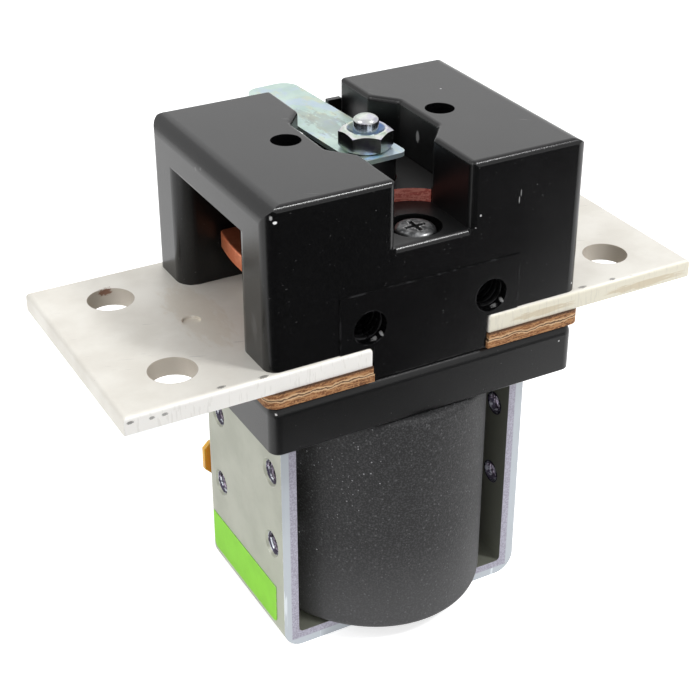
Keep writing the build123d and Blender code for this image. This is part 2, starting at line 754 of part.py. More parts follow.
# Bush: carries the bridge on its flange and keeps it clear of the spindle
with BuildPart() as bush:
    with BuildSketch(Plane.XY.offset(clip_top)):
        Circle(bush_flange_radius)
    extrude(amount=bush_flange_thickness)
    with BuildSketch(Plane.XY.offset(bridge_bottom - bush_seat_gap)):
        Circle(bush_neck_radius)
    extrude(amount=bridge_thickness + bush_seat_gap + bush_neck_rise)
    upright_hole(spindle_radius + thread_fit, clip_top, bridge_top + bush_neck_rise)
bush.part.label = "bush"
export_step(bush.part, "parts/bush.step")

# Clip: open ring in the spindle's groove, under the bush
with BuildPart() as clip:
    with BuildSketch(Plane.XY.offset(clip_top - clip_thickness)):
        Circle(clip_radius)
        Circle(groove_radius + clip_fit, mode=Mode.SUBTRACT)
        with Locations((0, -clip_radius / 2)):
            Rectangle(clip_opening, clip_radius, mode=Mode.SUBTRACT)
    extrude(amount=clip_thickness)
clip.part.label = "clip"
export_step(clip.part, "parts/clip.step")

# Spring cup: sits on the spindle's shoulder, open downwards over the contact spring
cup_bottom = bridge_top + overtravel + cup_mouth_clearance
with BuildPart() as spring_cup:
    with BuildSketch(Plane.XY.offset(cup_bottom)):
        Circle(cup_radius)
    extrude(amount=strap_bottom - cup_bottom)
    upright_hole(cup_radius - cup_wall, cup_bottom, cup_shoulder)
    upright_hole(thread_radius + thread_fit, cup_shoulder, strap_bottom)
spring_cup.part.label = "spring_cup"
export_step(spring_cup.part, "parts/spring_cup.step")

# Strap: plated strip clamped on the cup, turned a little on the spindle, reaching out behind the cover
strap_plane = Plane(
    origin=(0, 0, strap_bottom),
    x_dir=(math.cos(math.radians(strap_yaw)), math.sin(math.radians(strap_yaw)), 0),
    z_dir=(0, 0, 1),
)
with BuildPart() as strap:
    with BuildSketch(strap_plane) as strap_outline:
        with Locations((0, (strap_back_reach - strap_front_reach) / 2)):
            Rectangle(strap_width, strap_back_reach + strap_front_reach)
        fillet(strap_outline.vertices().sort_by(Axis.Y)[:2], radius=strap_front_corner_radius)
        fillet(strap_outline.vertices().sort_by(Axis.Y)[-2:], radius=strap_back_corner_radius)
        Circle(thread_radius + thread_fit, mode=Mode.SUBTRACT)
    extrude(amount=strap_thickness)
strap.part.label = "strap"
export_step(strap.part, "parts/strap.step")

# Nut: hexagon with both ends turned to a cone
nut_corner_radius = nut_across_flats / 2 / math.cos(math.pi / nut_sides)
nut_drop = (nut_corner_radius - nut_face_radius) * math.tan(math.radians(nut_chamfer_angle))
with BuildPart() as nut:
    with BuildSketch(Plane.XY.offset(strap_top)):
        RegularPolygon(nut_across_flats / 2, nut_sides, major_radius=False, rotation=nut_turn)
    extrude(amount=nut_height)
    with BuildSketch(Plane.XZ):
        with BuildLine():
            Polyline(
                (0, strap_top),
                (nut_face_radius, strap_top),
                (nut_corner_radius, strap_top + nut_drop),
                (nut_corner_radius, nut_top - nut_drop),
                (nut_face_radius, nut_top),
                (0, nut_top),
                close=True,
            )
        make_face()
    revolve(axis=Axis.Z, mode=Mode.INTERSECT)
    upright_hole(thread_radius + thread_fit, strap_top, nut_top)
    bore_rims = nut.edges().filter_by(GeomType.CIRCLE).filter_by(
        lambda edge: abs(edge.radius - thread_radius - thread_fit) < thread_fit / 2
    )
    sink_width = nut_sink_radius - thread_radius - thread_fit
    upper_rim = bore_rims.sort_by(Axis.Z)[-1]
    chamfer(upper_rim, length=sink_width, length2=nut_sink_depth)
nut.part.label = "nut"
export_step(nut.part, "parts/nut.step")

# Springs: one between core and plunger, one between bridge and cup
return_spring = coil_spring(
    return_spring_coil_radius,
    return_spring_wire_radius,
    return_spring_turns,
    core_top - core_seat_depth,
    plunger_bottom + plunger_bore_depth,
)
return_spring.part.label = "return_spring"
export_step(return_spring.part, "parts/return_spring.step")

contact_spring = coil_spring(
    contact_spring_coil_radius,
    contact_spring_wire_radius,
    contact_spring_turns,
    bridge_top,
    cup_shoulder,
)
contact_spring.part.label = "contact_spring"
export_step(contact_spring.part, "parts/contact_spring.step")
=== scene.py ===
# %% [markdown]
# # A contactor, dressed in Blender
# The part is a power switch: a coil in a bent steel frame pulls a spindle down, and a copper bridge joins two
# thick busbars. Its solids come from CAD and stay where they are. This lesson gives each of them the finish
# that the real piece has, adds the small forms that CAD leaves out, and sets up the studio round it.

# %% Load the frame
import bpy
import math
from mathutils import Matrix, Vector


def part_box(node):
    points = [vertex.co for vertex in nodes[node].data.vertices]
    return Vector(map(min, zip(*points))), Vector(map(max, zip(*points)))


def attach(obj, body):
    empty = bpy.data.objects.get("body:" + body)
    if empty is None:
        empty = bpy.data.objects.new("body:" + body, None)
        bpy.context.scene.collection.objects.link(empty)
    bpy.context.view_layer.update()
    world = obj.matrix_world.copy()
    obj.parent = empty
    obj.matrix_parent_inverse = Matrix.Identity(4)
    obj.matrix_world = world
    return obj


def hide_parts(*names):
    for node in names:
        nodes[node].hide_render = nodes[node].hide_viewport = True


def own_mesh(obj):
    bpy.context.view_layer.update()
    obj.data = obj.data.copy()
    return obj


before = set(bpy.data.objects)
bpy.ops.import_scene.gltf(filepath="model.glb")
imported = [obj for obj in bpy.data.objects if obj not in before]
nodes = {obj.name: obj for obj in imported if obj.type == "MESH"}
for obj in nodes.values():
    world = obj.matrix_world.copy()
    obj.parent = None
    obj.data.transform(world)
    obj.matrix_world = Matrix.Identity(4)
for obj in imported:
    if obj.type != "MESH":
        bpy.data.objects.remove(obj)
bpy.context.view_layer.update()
bpy.ops.object.select_all(action="DESELECT")
MM = 0.001

# %% [markdown]
# ## The camera
# The camera stands where the photographer stood. Its place and its lens were found by matching corners of
# the real part with corners of the model, so they are plain numbers: a direction round the part, a height
# above the horizon, and a focal length. The small shift moves the picture on the sensor without turning
# the camera, so upright edges keep their slant.

# %% Place the camera
def new_object(name, data):
    """An object in the scene that shows this data."""
    item = bpy.data.objects.new(name, data)
    bpy.context.scene.collection.objects.link(item)
    return item


CAMERA_PLACE = Vector((-161.8, -284.9, 258.2)) * MM
CAMERA_AZIMUTH = math.radians(-29.115)
CAMERA_ELEVATION = math.radians(29.322)
CAMERA_ROLL = math.radians(0.165)
CAMERA_LENS = 78.83
SENSOR_WIDTH = 36.0
SENSOR_SHIFT_X = -0.00481
SENSOR_SHIFT_Y = -0.03976

camera_data = bpy.data.cameras.new("camera")
camera = new_object("camera", camera_data)
bpy.context.scene.camera = camera
camera_data.sensor_width = SENSOR_WIDTH
camera_data.lens = CAMERA_LENS
camera_data.shift_x = SENSOR_SHIFT_X
camera_data.shift_y = SENSOR_SHIFT_Y
camera_data.clip_start = 0.01
camera_data.clip_end = 20.0
look_back = Vector((
    math.sin(CAMERA_AZIMUTH) * math.cos(CAMERA_ELEVATION),
    -math.cos(CAMERA_AZIMUTH) * math.cos(CAMERA_ELEVATION),
    math.sin(CAMERA_ELEVATION),
))
turn = (-look_back).to_track_quat("-Z", "Y").to_matrix() @ Matrix.Rotation(CAMERA_ROLL, 3, "Z")
camera.matrix_world = Matrix.Translation(CAMERA_PLACE) @ turn.to_4x4()
print("camera", [round(v, 4) for v in CAMERA_PLACE])

# %% [markdown]
# ## Effects that several finishes share
# Wear, specks, scratches and grain turn up on metal, plastic and fibre alike. Each is a node group with
# named inputs, built once and then placed in a material with that material's own numbers. A group puts out
# masks and heights only: the shader stays in the material. All patterns read Object coordinates, which are
# metres here, because every piece has its place in its mesh.

# %% A helper that starts a group
def start_group(name, inputs, outputs):
    """A shader group with float or vector inputs [(name, default)] and float outputs.

    Returns the group, what it is given and where its results go.
    """
    group = bpy.data.node_groups.new(name, "ShaderNodeTree")
    for socket_name, default in inputs:
        kind = "NodeSocketVector" if isinstance(default, tuple) else "NodeSocketFloat"
        socket = group.interface.new_socket(socket_name, in_out="INPUT", socket_type=kind)
        socket.default_value = default
    for socket_name in outputs:
        group.interface.new_socket(socket_name, in_out="OUTPUT", socket_type="NodeSocketFloat")
    given = group.nodes.new("NodeGroupInput").outputs
    result = group.nodes.new("NodeGroupOutput").inputs
    return group, given, result


print("groups can be started")

# %% Helpers that place nodes
def join(tree, source, target):
    """Links an output to an input."""
    tree.links.new(source, target)


def feed(tree, value, socket):
    """Sets an input to a number or a tuple, or links it where the value is an output."""
    if isinstance(value, (int, float, tuple)):
        socket.default_value = value
    else:
        join(tree, value, socket)


def math_node(tree, operation, *values):
    """A Math node whose inputs are sockets or numbers. Returns its output."""
    node = tree.nodes.new("ShaderNodeMath")
    node.operation = operation
    for socket, value in zip(node.inputs, values):
        feed(tree, value, socket)
    return node.outputs[0]


def vector_node(tree, operation, *values):
    """A Vector Math node whose inputs are sockets or triples. Returns the output that its operation fills."""
    node = tree.nodes.new("ShaderNodeVectorMath")
    node.operation = operation
    for socket, value in zip(node.inputs, values):
        feed(tree, value, socket)
    gives_number = operation in ("LENGTH", "DOT_PRODUCT")
    return node.outputs["Value" if gives_number else "Vector"]


def ramp_node(tree, source, low, high):
    """A mask that rises smoothly from 0 at low to 1 at high."""
    node = tree.nodes.new("ShaderNodeMapRange")
    node.interpolation_type = "SMOOTHSTEP"
    join(tree, source, node.inputs["Value"])
    feed(tree, low, node.inputs["From Min"])
    feed(tree, high, node.inputs["From Max"])
    return node.outputs["Result"]


def falling_node(tree, source, low, high):
    """A mask that falls smoothly from 1 at low to 0 at high."""
    return math_node(tree, "SUBTRACT", 1.0, ramp_node(tree, source, low, high))


def noise_node(tree, vector, scale, detail, roughness=0.55):
    """A noise texture. Its scale may be a number or a socket. Returns its value."""
    node = tree.nodes.new("ShaderNodeTexNoise")
    node.inputs["Detail"].default_value = detail
    node.inputs["Roughness"].default_value = roughness
    join(tree, vector, node.inputs["Vector"])
    feed(tree, scale, node.inputs["Scale"])
    return node.outputs["Fac"]


def object_place(tree):
    """The Object coordinates, in metres."""
    return tree.nodes.new("ShaderNodeTexCoord").outputs["Object"]


print("group helpers ready")

# %% [markdown]
# ### Grain and clouding
# Moulded plastic, rolled sheet and pressed board are never quite even. Two noises do most of the work: a fine
# one for the grain that breaks up a highlight, and a broad one for slow changes of tone.

# %% Build the grain group
tree, given, result = start_group(
    "surface_grain",
    [("Grain Size", 0.0004), ("Cloud Size", 0.02), ("Stretch", (1.0, 1.0, 1.0))],
    ["Grain", "Cloud"],
)
stretched = vector_node(tree, "MULTIPLY", object_place(tree), given["Stretch"])
grain_scale = math_node(tree, "DIVIDE", 1.0, given["Grain Size"])
cloud_scale = math_node(tree, "DIVIDE", 1.0, given["Cloud Size"])
fine_noise = noise_node(tree, stretched, grain_scale, detail=3.0)
broad_noise = noise_node(tree, object_place(tree), cloud_scale, detail=5.0)
join(tree, fine_noise, result["Grain"])
join(tree, broad_noise, result["Cloud"])
grain_group = tree
print("group", tree.name)

# %% [markdown]
# ### Specks
# Dust and tiny chips show as single bright dots. A Voronoi texture splits space into cells. A cell is used
# only if its random number is low, and the dot is the part of the cell near its centre.

# %% Build the speck group
tree, given, result = start_group(
    "specks", [("Spacing", 0.002), ("Share", 0.2), ("Dot Size", 0.15)], ["Mask"]
)
cells = tree.nodes.new("ShaderNodeTexVoronoi")
join(tree, object_place(tree), cells.inputs["Vector"])
join(tree, math_node(tree, "DIVIDE", 1.0, given["Spacing"]), cells.inputs["Scale"])
cell_number = tree.nodes.new("ShaderNodeSeparateColor")
join(tree, cells.outputs["Color"], cell_number.inputs["Color"])
dot_edge = math_node(tree, "MULTIPLY", given["Dot Size"], cell_number.outputs["Green"])
dot = math_node(tree, "LESS_THAN", cells.outputs["Distance"], dot_edge)
picked = math_node(tree, "LESS_THAN", cell_number.outputs["Red"], given["Share"])
join(tree, math_node(tree, "MULTIPLY", dot, picked), result["Mask"])
speck_group = tree
print("group", tree.name)

# %% [markdown]
# ### Scratches
# A noise that is squeezed hard along one direction turns into long thin streaks. Only its crests are kept.

# %% Build the scratch group
CREST_LEVEL = 0.8
LOWERED_BY_AMOUNT = 0.3
CREST_FADE = 0.06
tree, given, result = start_group(
    "scratches", [("Stretch", (100.0, 2000.0, 2000.0)), ("Turn", 0.0), ("Amount", 0.3)], ["Mask"]
)
turned = tree.nodes.new("ShaderNodeVectorRotate")
turned.rotation_type = "Z_AXIS"
join(tree, object_place(tree), turned.inputs["Vector"])
join(tree, given["Turn"], turned.inputs["Angle"])
streaked = vector_node(tree, "MULTIPLY", turned.outputs["Vector"], given["Stretch"])
streaks = noise_node(tree, streaked, scale=1.0, detail=2.0)
lowered = math_node(tree, "MULTIPLY", given["Amount"], LOWERED_BY_AMOUNT)
streak_floor = math_node(tree, "SUBTRACT", CREST_LEVEL, lowered)
streak_top = math_node(tree, "ADD", streak_floor, CREST_FADE)
join(tree, ramp_node(tree, streaks, streak_floor, streak_top), result["Mask"])
scratch_group = tree
print("group", tree.name)

# %% [markdown]
# ### Worn edges
# Handling rubs an edge first. The Bevel node looks a short way round and gives a softened normal: where that
# normal leaves the true one, there is an edge. A noise then breaks the line up, because wear is never even.

# %% Build the edge group
EDGE_TURN = (0.02, 0.2)
EDGE_GAPS = (0.42, 0.62)
tree, given, result = start_group(
    "worn_edges", [("Width", 0.0004), ("Break Up", 0.003)], ["Mask"]
)
softened = tree.nodes.new("ShaderNodeBevel")
softened.samples = 4
join(tree, given["Width"], softened.inputs["Radius"])
true_normal = tree.nodes.new("ShaderNodeNewGeometry").outputs["Normal"]
closeness = vector_node(tree, "DOT_PRODUCT", softened.outputs["Normal"], true_normal)
edge_line = ramp_node(tree, math_node(tree, "SUBTRACT", 1.0, closeness), *EDGE_TURN)
edge_scale = math_node(tree, "DIVIDE", 1.0, given["Break Up"])
uneven = noise_node(tree, object_place(tree), edge_scale, detail=4.0)
edge_noise = ramp_node(tree, uneven, *EDGE_GAPS)
join(tree, math_node(tree, "MULTIPLY", edge_line, edge_noise), result["Mask"])
edge_group = tree
print("group", tree.name)

# %% [markdown]
# ### Marks in one place
# A few marks sit where the real part was knocked, rubbed or heated. The group measures how far a point is
# from the mark's middle, in units of the mark's own size, and a noise frays its outline.

# %% Build the mark group
FRAY_REACH = 4.0
MARK_FADE = (0.7, 1.1)
tree, given, result = start_group(
    "single_mark", [("Middle", (0.0, 0.0, 0.0)), ("Size", (0.002, 0.002, 0.002)), ("Fray", 0.5)], ["Mask"]
)
from_middle = vector_node(tree, "SUBTRACT", object_place(tree), given["Middle"])
in_sizes = vector_node(tree, "DIVIDE", from_middle, given["Size"])
mark_distance = vector_node(tree, "LENGTH", in_sizes)
mark_noise = noise_node(tree, in_sizes, scale=2.5, detail=4.0, roughness=0.7)
centred_noise = math_node(tree, "SUBTRACT", mark_noise, 0.5)
fray_reach = math_node(tree, "MULTIPLY", given["Fray"], FRAY_REACH)
frayed = math_node(tree, "MULTIPLY", centred_noise, fray_reach)
mark_edge = math_node(tree, "ADD", mark_distance, frayed)
mark_mask = falling_node(tree, mark_edge, *MARK_FADE)
join(tree, mark_mask, result["Mask"])
mark_group = tree
print("group", tree.name)

# %% [markdown]
# ## A small workbench for materials
# Each finish below starts from one Principled shader. Colours are written as they are read off a screen,
# from 0 to 255, and turned into the linear values that the shader works in.

# %% Helpers that start a material
def screen(red, green, blue):
    """A linear colour from the 0 to 255 values of a screen."""
    linear = []
    for value in (red, green, blue):
        share = value / 255
        linear.append(share / 12.92 if share <= 0.04045 else ((share + 0.055) / 1.055) ** 2.4)
    return (*linear, 1.0)


def grey(value):
    """A linear grey from one value of a screen."""
    return screen(value, value, value)


def shader_of(tree):
    """The Principled shader of a material."""
    return tree.nodes["Principled BSDF"]


def set_sockets(node, settings):
    """Sets inputs by name, with _ for a space."""
    for socket_name, value in settings.items():
        node.inputs[socket_name.replace("_", " ")].default_value = value


def start_material(name, **settings):
    """A material with a Principled shader, whose sockets are set by name. Returns it and its tree."""
    material = bpy.data.materials.new(name)
    material.use_nodes = True
    set_sockets(shader_of(material.node_tree), settings)
    return material, material.node_tree


def drive(tree, socket_name, value):
    """Links an output to a socket of the shader."""
    join(tree, value, shader_of(tree).inputs[socket_name])


print("materials can be started")

# %% Helpers that place effects and mix colours
# The Mix node has sockets of the same name for each kind of data, so its colours are picked by number.
COLOUR_A = 6
COLOUR_B = 7
COLOUR_RESULT = 2


def place_group(tree, group, **settings):
    """Places a shared effect in a material, with this material's own numbers."""
    node = tree.nodes.new("ShaderNodeGroup")
    node.node_tree = group
    set_sockets(node, settings)
    return node


def place_mask(tree, group, **settings):
    """Places an effect that puts out one mask, and returns the mask."""
    return place_group(tree, group, **settings).outputs["Mask"]


def place_grain(tree, grain_size, cloud_size, stretch=(1.0, 1.0, 1.0)):
    """Places the grain effect, with sizes in metres. Returns its grain and its clouds."""
    node = place_group(tree, grain_group, Grain_Size=grain_size, Cloud_Size=cloud_size, Stretch=stretch)
    return node.outputs["Grain"], node.outputs["Cloud"]


def mix_colour(tree, mask, first, second):
    """Goes from the first colour to the second with the mask. Colours are sockets or tuples."""
    node = tree.nodes.new("ShaderNodeMix")
    node.data_type = "RGBA"
    join(tree, mask, node.inputs["Factor"])
    feed(tree, first, node.inputs[COLOUR_A])
    feed(tree, second, node.inputs[COLOUR_B])
    return node.outputs[COLOUR_RESULT]


def colour_ramp(tree, source, *stops):
    """A colour that a value steers along stops (position, colour)."""
    node = tree.nodes.new("ShaderNodeValToRGB")
    elements = node.color_ramp.elements
    elements[0].position, elements[0].color = stops[0]
    elements[1].position, elements[1].color = stops[-1]
    for position, colour in stops[1:-1]:
        elements.new(position).color = colour
    join(tree, source, node.inputs["Fac"])
    return node.outputs["Color"]


def mix_value(tree, mask, first, second):
    """Goes from the first number to the second with the mask. The first may be a socket."""
    node = tree.nodes.new("ShaderNodeMapRange")
    join(tree, mask, node.inputs["Value"])
    feed(tree, first, node.inputs["To Min"])
    node.inputs["To Max"].default_value = second
    return node.outputs["Result"]


def faded(tree, mask, share):
    """A mask that reaches only a share of its strength."""
    return math_node(tree, "MULTIPLY", mask, share)


def painted(material):
    """The tree and the colour so far of a material that gets more on top."""
    tree = material.node_tree
    return tree, shader_of(tree).inputs["Base Color"].links[0].from_socket


def add_bump(tree, height, distance, strength):
    """Feeds the shader's normal with a height, whose full range is a distance in metres."""
    bump = tree.nodes.new("ShaderNodeBump")
    bump.inputs["Distance"].default_value = distance
    bump.inputs["Strength"].default_value = strength
    join(tree, height, bump.inputs["Height"])
    drive(tree, "Normal", bump.outputs["Normal"])


def add_marks(tree, colour, marks):
    """Lays marks over a colour. Each has its middle and size in millimetres, colour, fray and strength."""
    for middle, size, tone, fray, strength in marks:
        middle = tuple(v * MM for v in middle)
        size = tuple(v * MM for v in size)
        mark = place_mask(tree, mark_group, Middle=middle, Size=size, Fray=fray)
        colour = mix_colour(tree, faded(tree, mark, strength), colour, tone)
    return colour


print("effects can be placed and mixed")

# %% Helpers that say where a surface lies
def facing_mask(tree, axis, low, high):
    """A mask of the faces that look along an axis of the frame: -Y is written as "-Y"."""
    parts = tree.nodes.new("ShaderNodeSeparateXYZ")
    join(tree, tree.nodes.new("ShaderNodeNewGeometry").outputs["Normal"], parts.inputs["Vector"])
    sign = -1.0 if axis[0] == "-" else 1.0
    return ramp_node(tree, math_node(tree, "MULTIPLY", parts.outputs[axis[-1]], sign), low, high)


def place_parts(tree):
    """The X, Y and Z of the Object coordinates, each as a socket."""
    parts = tree.nodes.new("ShaderNodeSeparateXYZ")
    join(tree, object_place(tree), parts.inputs["Vector"])
    return parts.outputs["X"], parts.outputs["Y"], parts.outputs["Z"]


def flat_distance(tree, first, second):
    """The length of a vector that has these two parts."""
    squares = [math_node(tree, "MULTIPLY", part, part) for part in (first, second)]
    return math_node(tree, "SQRT", math_node(tree, "ADD", *squares))


def dress(material, *names):
    """Gives CAD nodes this material."""
    for name in names:
        for slot in nodes[name].material_slots:
            slot.material = material
    print(material.name, "on", ", ".join(names))


print("material helpers ready")

# %% [markdown]
# ## Where dust settles
# The outside of the cover is handled and stays fairly smooth. The channel across its top and the hollow
# behind its arches keep a film of dust, which dulls what they mirror. Two boxes say where that is.

# %% Find where dust settles
DUSTY_ROUGHNESS = 0.34
CHANNEL_LOW = (-1.0, -29.8, 106.0)
CHANNEL_HIGH = (15.2, 29.8, 125.0)
HOLLOW_LOW = (15.2, -28.0, 87.0)
HOLLOW_HIGH = (40.2, 28.0, 121.0)


def inside_box(tree, low, high):
    """A mask of what lies inside a box given in millimetres. X counts from the middle to both sides."""
    x, y, z = place_parts(tree)
    sideways = math_node(tree, "ABSOLUTE", x)
    mask = None
    for value, start, end in zip((sideways, y, z), low, high):
        above = math_node(tree, "GREATER_THAN", value, start * MM)
        below = math_node(tree, "LESS_THAN", value, end * MM)
        both = math_node(tree, "MULTIPLY", above, below)
        mask = both if mask is None else math_node(tree, "MULTIPLY", mask, both)
    return mask


def dusty_mask(tree):
    """The channel across the top and the hollow behind the arches, where no cloth ever reaches."""
    channel = inside_box(tree, CHANNEL_LOW, CHANNEL_HIGH)
    hollow = inside_box(tree, HOLLOW_LOW, HOLLOW_HIGH)
    return math_node(tree, "MAXIMUM", channel, hollow)


print("dust has a roughness of", DUSTY_ROUGHNESS)

# %% [markdown]
# ## Black mouldings
# The cover and the base are glass-filled plastic, near black, with a satin skin. Seen flat on it is dark and
# seen at a low angle it turns grey, so the colour stays dark and the roughness carries the look. Fine grain
# and a sandy tone roughen it, and a few pale specks and hairline scratches lie on it. Scuffs and chips at
# single places follow as a list, each with its middle and its size in millimetres, and with them painted
# glints and a painted highlight line, where light catches an edge or the wall of a front hole.

# %% Finish the mouldings
def moulding(name, colour, pale, rough):
    """Near-black plastic, clouded between two colours and between two values of roughness."""
    material, tree = start_material(name, IOR=1.42)
    grain, clouds = place_grain(tree, grain_size=0.00035, cloud_size=0.018)
    specks = place_mask(tree, speck_group, Spacing=0.0030, Share=0.07, Dot_Size=0.10)
    scratches = place_mask(tree, scratch_group, Stretch=(90.0, 2600.0, 2600.0), Turn=0.5, Amount=0.25)
    edges = place_mask(tree, edge_group, Width=0.0005, Break_Up=0.0025)
    sand, _ = place_grain(tree, grain_size=0.00028, cloud_size=0.004)
    sandy = faded(tree, ramp_node(tree, sand, 0.4, 0.75), 0.4)
    toned = mix_colour(tree, clouds, colour, pale)
    toned = mix_colour(tree, sandy, toned, screen(30, 30, 31))
    hairlines = faded(tree, scratches, 0.25)
    marks = math_node(tree, "MAXIMUM", specks, hairlines)
    marked = mix_colour(tree, marks, toned, grey(190))
    worn = faded(tree, edges, 0.35)
    rubbed = mix_colour(tree, worn, marked, screen(95, 95, 97))
    drive(tree, "Base Color", rubbed)
    satin = mix_value(tree, clouds, *rough)
    drive(tree, "Roughness", mix_value(tree, dusty_mask(tree), satin, DUSTY_ROUGHNESS))
    add_bump(tree, grain, distance=0.00003, strength=0.7)
    return material


cover_plastic = moulding("cover_plastic", screen(5, 5, 6), screen(9, 9, 10), rough=(0.16, 0.26))
tree, colour = painted(cover_plastic)
cover_marks_and_painted_glints = (
    ((-40.8, -23.9, 95.8), (1.0, 1.3, 2.8), screen(96, 96, 97), 1.0, 0.3),
    ((-40.8, 4.2, 122.0), (0.8, 0.5, 0.35), grey(110), 0.8, 0.7),
    ((-40.6, 1.8, 122.8), (0.8, 0.4, 0.3), grey(100), 0.8, 0.7),
    # Painted highlight along the top edge of the arch.
    ((-40.8, 9.2, 116.6), (0.4, 10.0, 0.22), grey(130), 0.2, 0.8),
    ((14.5, 0.9, 119.8), (0.6, 0.8, 1.5), grey(150), 0.3, 0.9),
    ((22.3, -30.4, 114.5), (0.15, 0.6, 0.9), grey(170), 0.3, 0.8),
    ((22.7, -30.4, 116.1), (0.15, 0.6, 0.9), grey(150), 0.3, 0.8),
    # Painted glints on the walls of the two front holes.
    ((-14.3, -29.4, 88.4), (1.0, 0.7, 0.35), grey(150), 0.9, 1.0),
    ((-12.7, -29.9, 89.5), (0.35, 0.9, 0.5), grey(200), 0.7, 1.0),
    ((17.4, -29.4, 88.4), (1.0, 0.7, 0.35), grey(150), 0.9, 1.0),
    ((19.2, -29.9, 89.7), (0.35, 0.9, 0.5), grey(200), 0.7, 1.0),
    # Painted glints on the cover's front-left corner and on the mouth's lower right corner.
    ((-38.4, -30.2, 122.7), (0.5, 1.0, 0.35), grey(255), 0.3, 1.0),
    ((-39.2, -30.0, 123.8), (0.3, 1.0, 0.5), grey(190), 0.8, 0.8),
    ((11.0, -29.8, 110.1), (0.5, 0.6, 0.4), grey(255), 0.3, 1.0),
    ((14.5, -16.9, 111.1), (0.5, 0.3, 0.3), grey(200), 0.3, 1.0),
    ((14.5, -23.9, 111.3), (0.5, 0.3, 0.3), grey(190), 0.3, 1.0),
    ((14.5, -25.5, 114.7), (0.5, 0.2, 0.5), grey(120), 0.5, 0.8),
    ((14.5, -19.1, 110.2), (0.5, 0.3, 0.7), grey(120), 0.6, 0.8),
)
drive(tree, "Base Color", add_marks(tree, colour, cover_marks_and_painted_glints))

base_plastic = moulding("base_plastic", screen(11, 11, 12), screen(20, 20, 21), rough=(0.24, 0.34))
tree, colour = painted(base_plastic)
# Painted glints on the flange's front-left corner.
painted_corner_glints = (
    ((-39.3, -30.8, 76.5), (0.45, 0.9, 0.5), grey(255), 0.3, 1.0),
    ((-39.8, -30.8, 77.4), (0.3, 0.9, 0.3), grey(255), 0.3, 1.0),
)
drive(tree, "Base Color", add_marks(tree, colour, painted_corner_glints))
dress(cover_plastic, "cover")
dress(base_plastic, "base", "bush", "spring_cup")

# %% [markdown]
# ## Zinc-plated frame
# The U-shaped strip is dull zinc over rolled steel: a pale grey with a trace of green, slightly cloudy, with
# faint streaks along the strip. Plating is metal, but it is crystalline and scatters, so it is not a mirror.
# The front edge was sheared: the shears burnish the outer half of the thickness and tear the inner half.
# The burnished half is painted lighter than the zinc: a painted sheen on the faces turned to the front.

# %% Finish the zinc
def zinc(name, colour, shade, rough, streak, metallic):
    """Dull plating, clouded between two colours, with a grain that is stretched by streak."""
    material, tree = start_material(name, Metallic=metallic)
    grain, clouds = place_grain(tree, grain_size=0.0003, cloud_size=0.012, stretch=streak)
    edges = place_mask(tree, edge_group, Width=0.0005, Break_Up=0.002)
    scratches = place_mask(tree, scratch_group, Stretch=(160.0, 2200.0, 1500.0), Turn=0.35, Amount=0.3)
    cloud = ramp_node(tree, clouds, 0.3, 0.7)
    toned = mix_colour(tree, cloud, colour, shade)
    scores = faded(tree, scratches, 0.4)
    scored = mix_colour(tree, scores, toned, screen(130, 130, 128))
    worn = faded(tree, edges, 0.6)
    rubbed = mix_colour(tree, worn, scored, screen(240, 240, 242))
    drive(tree, "Base Color", rubbed)
    drive(tree, "Roughness", mix_value(tree, cloud, *rough))
    add_bump(tree, grain, distance=0.000015, strength=0.6)
    return material, tree


TEAR_STARTS = 1.9 * MM
TEAR_IS_FULL = 2.2 * MM
frame_zinc, tree = zinc(
    "frame_zinc", screen(169, 171, 157), screen(162, 164, 151),
    rough=(0.34, 0.46), streak=(1.0, 1.0, 0.15), metallic=0.6,
)
zinc_colour = painted(frame_zinc)[1]
edge_streaks = place_mask(tree, scratch_group, Stretch=(700.0, 700.0, 60.0), Turn=0.0, Amount=0.6)
# Painted sheen: the burnished half of the front edge is painted lighter than the zinc.
burnished_and_painted_sheen = mix_colour(tree, edge_streaks, screen(184, 190, 196), screen(214, 220, 224))
edge_grain, _ = place_grain(tree, grain_size=0.0004, cloud_size=0.004)
rough_grain = ramp_node(tree, edge_grain, 0.4, 0.62)
torn = mix_colour(tree, rough_grain, screen(150, 147, 160), screen(174, 172, 186))
frame_low, frame_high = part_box("frame")
x, y, z = place_parts(tree)
from_side = math_node(tree, "SUBTRACT", frame_high.x, math_node(tree, "ABSOLUTE", x))
from_outside = math_node(tree, "MINIMUM", from_side, z)
in_tear = ramp_node(tree, from_outside, TEAR_STARTS, TEAR_IS_FULL)
sheared_edge = mix_colour(tree, in_tear, burnished_and_painted_sheen, torn)
# Only the faces turned to the front get the sheared edge, with its painted sheen.
front_edge_with_painted_sheen = mix_colour(tree, facing_mask(tree, "-Y", 0.8, 0.96), zinc_colour, sheared_edge)
print("frame is", round((frame_high.x - frame_low.x) / MM, 1), "mm wide")

# %% [markdown]
# ### Painted shade and glints in the threaded holes
# Inside a tapped hole only the crests of the thread catch light. A disc round each hole's axis is painted
# dark as painted shade. Rings of one width, broken up by a noise, make painted glints on it.

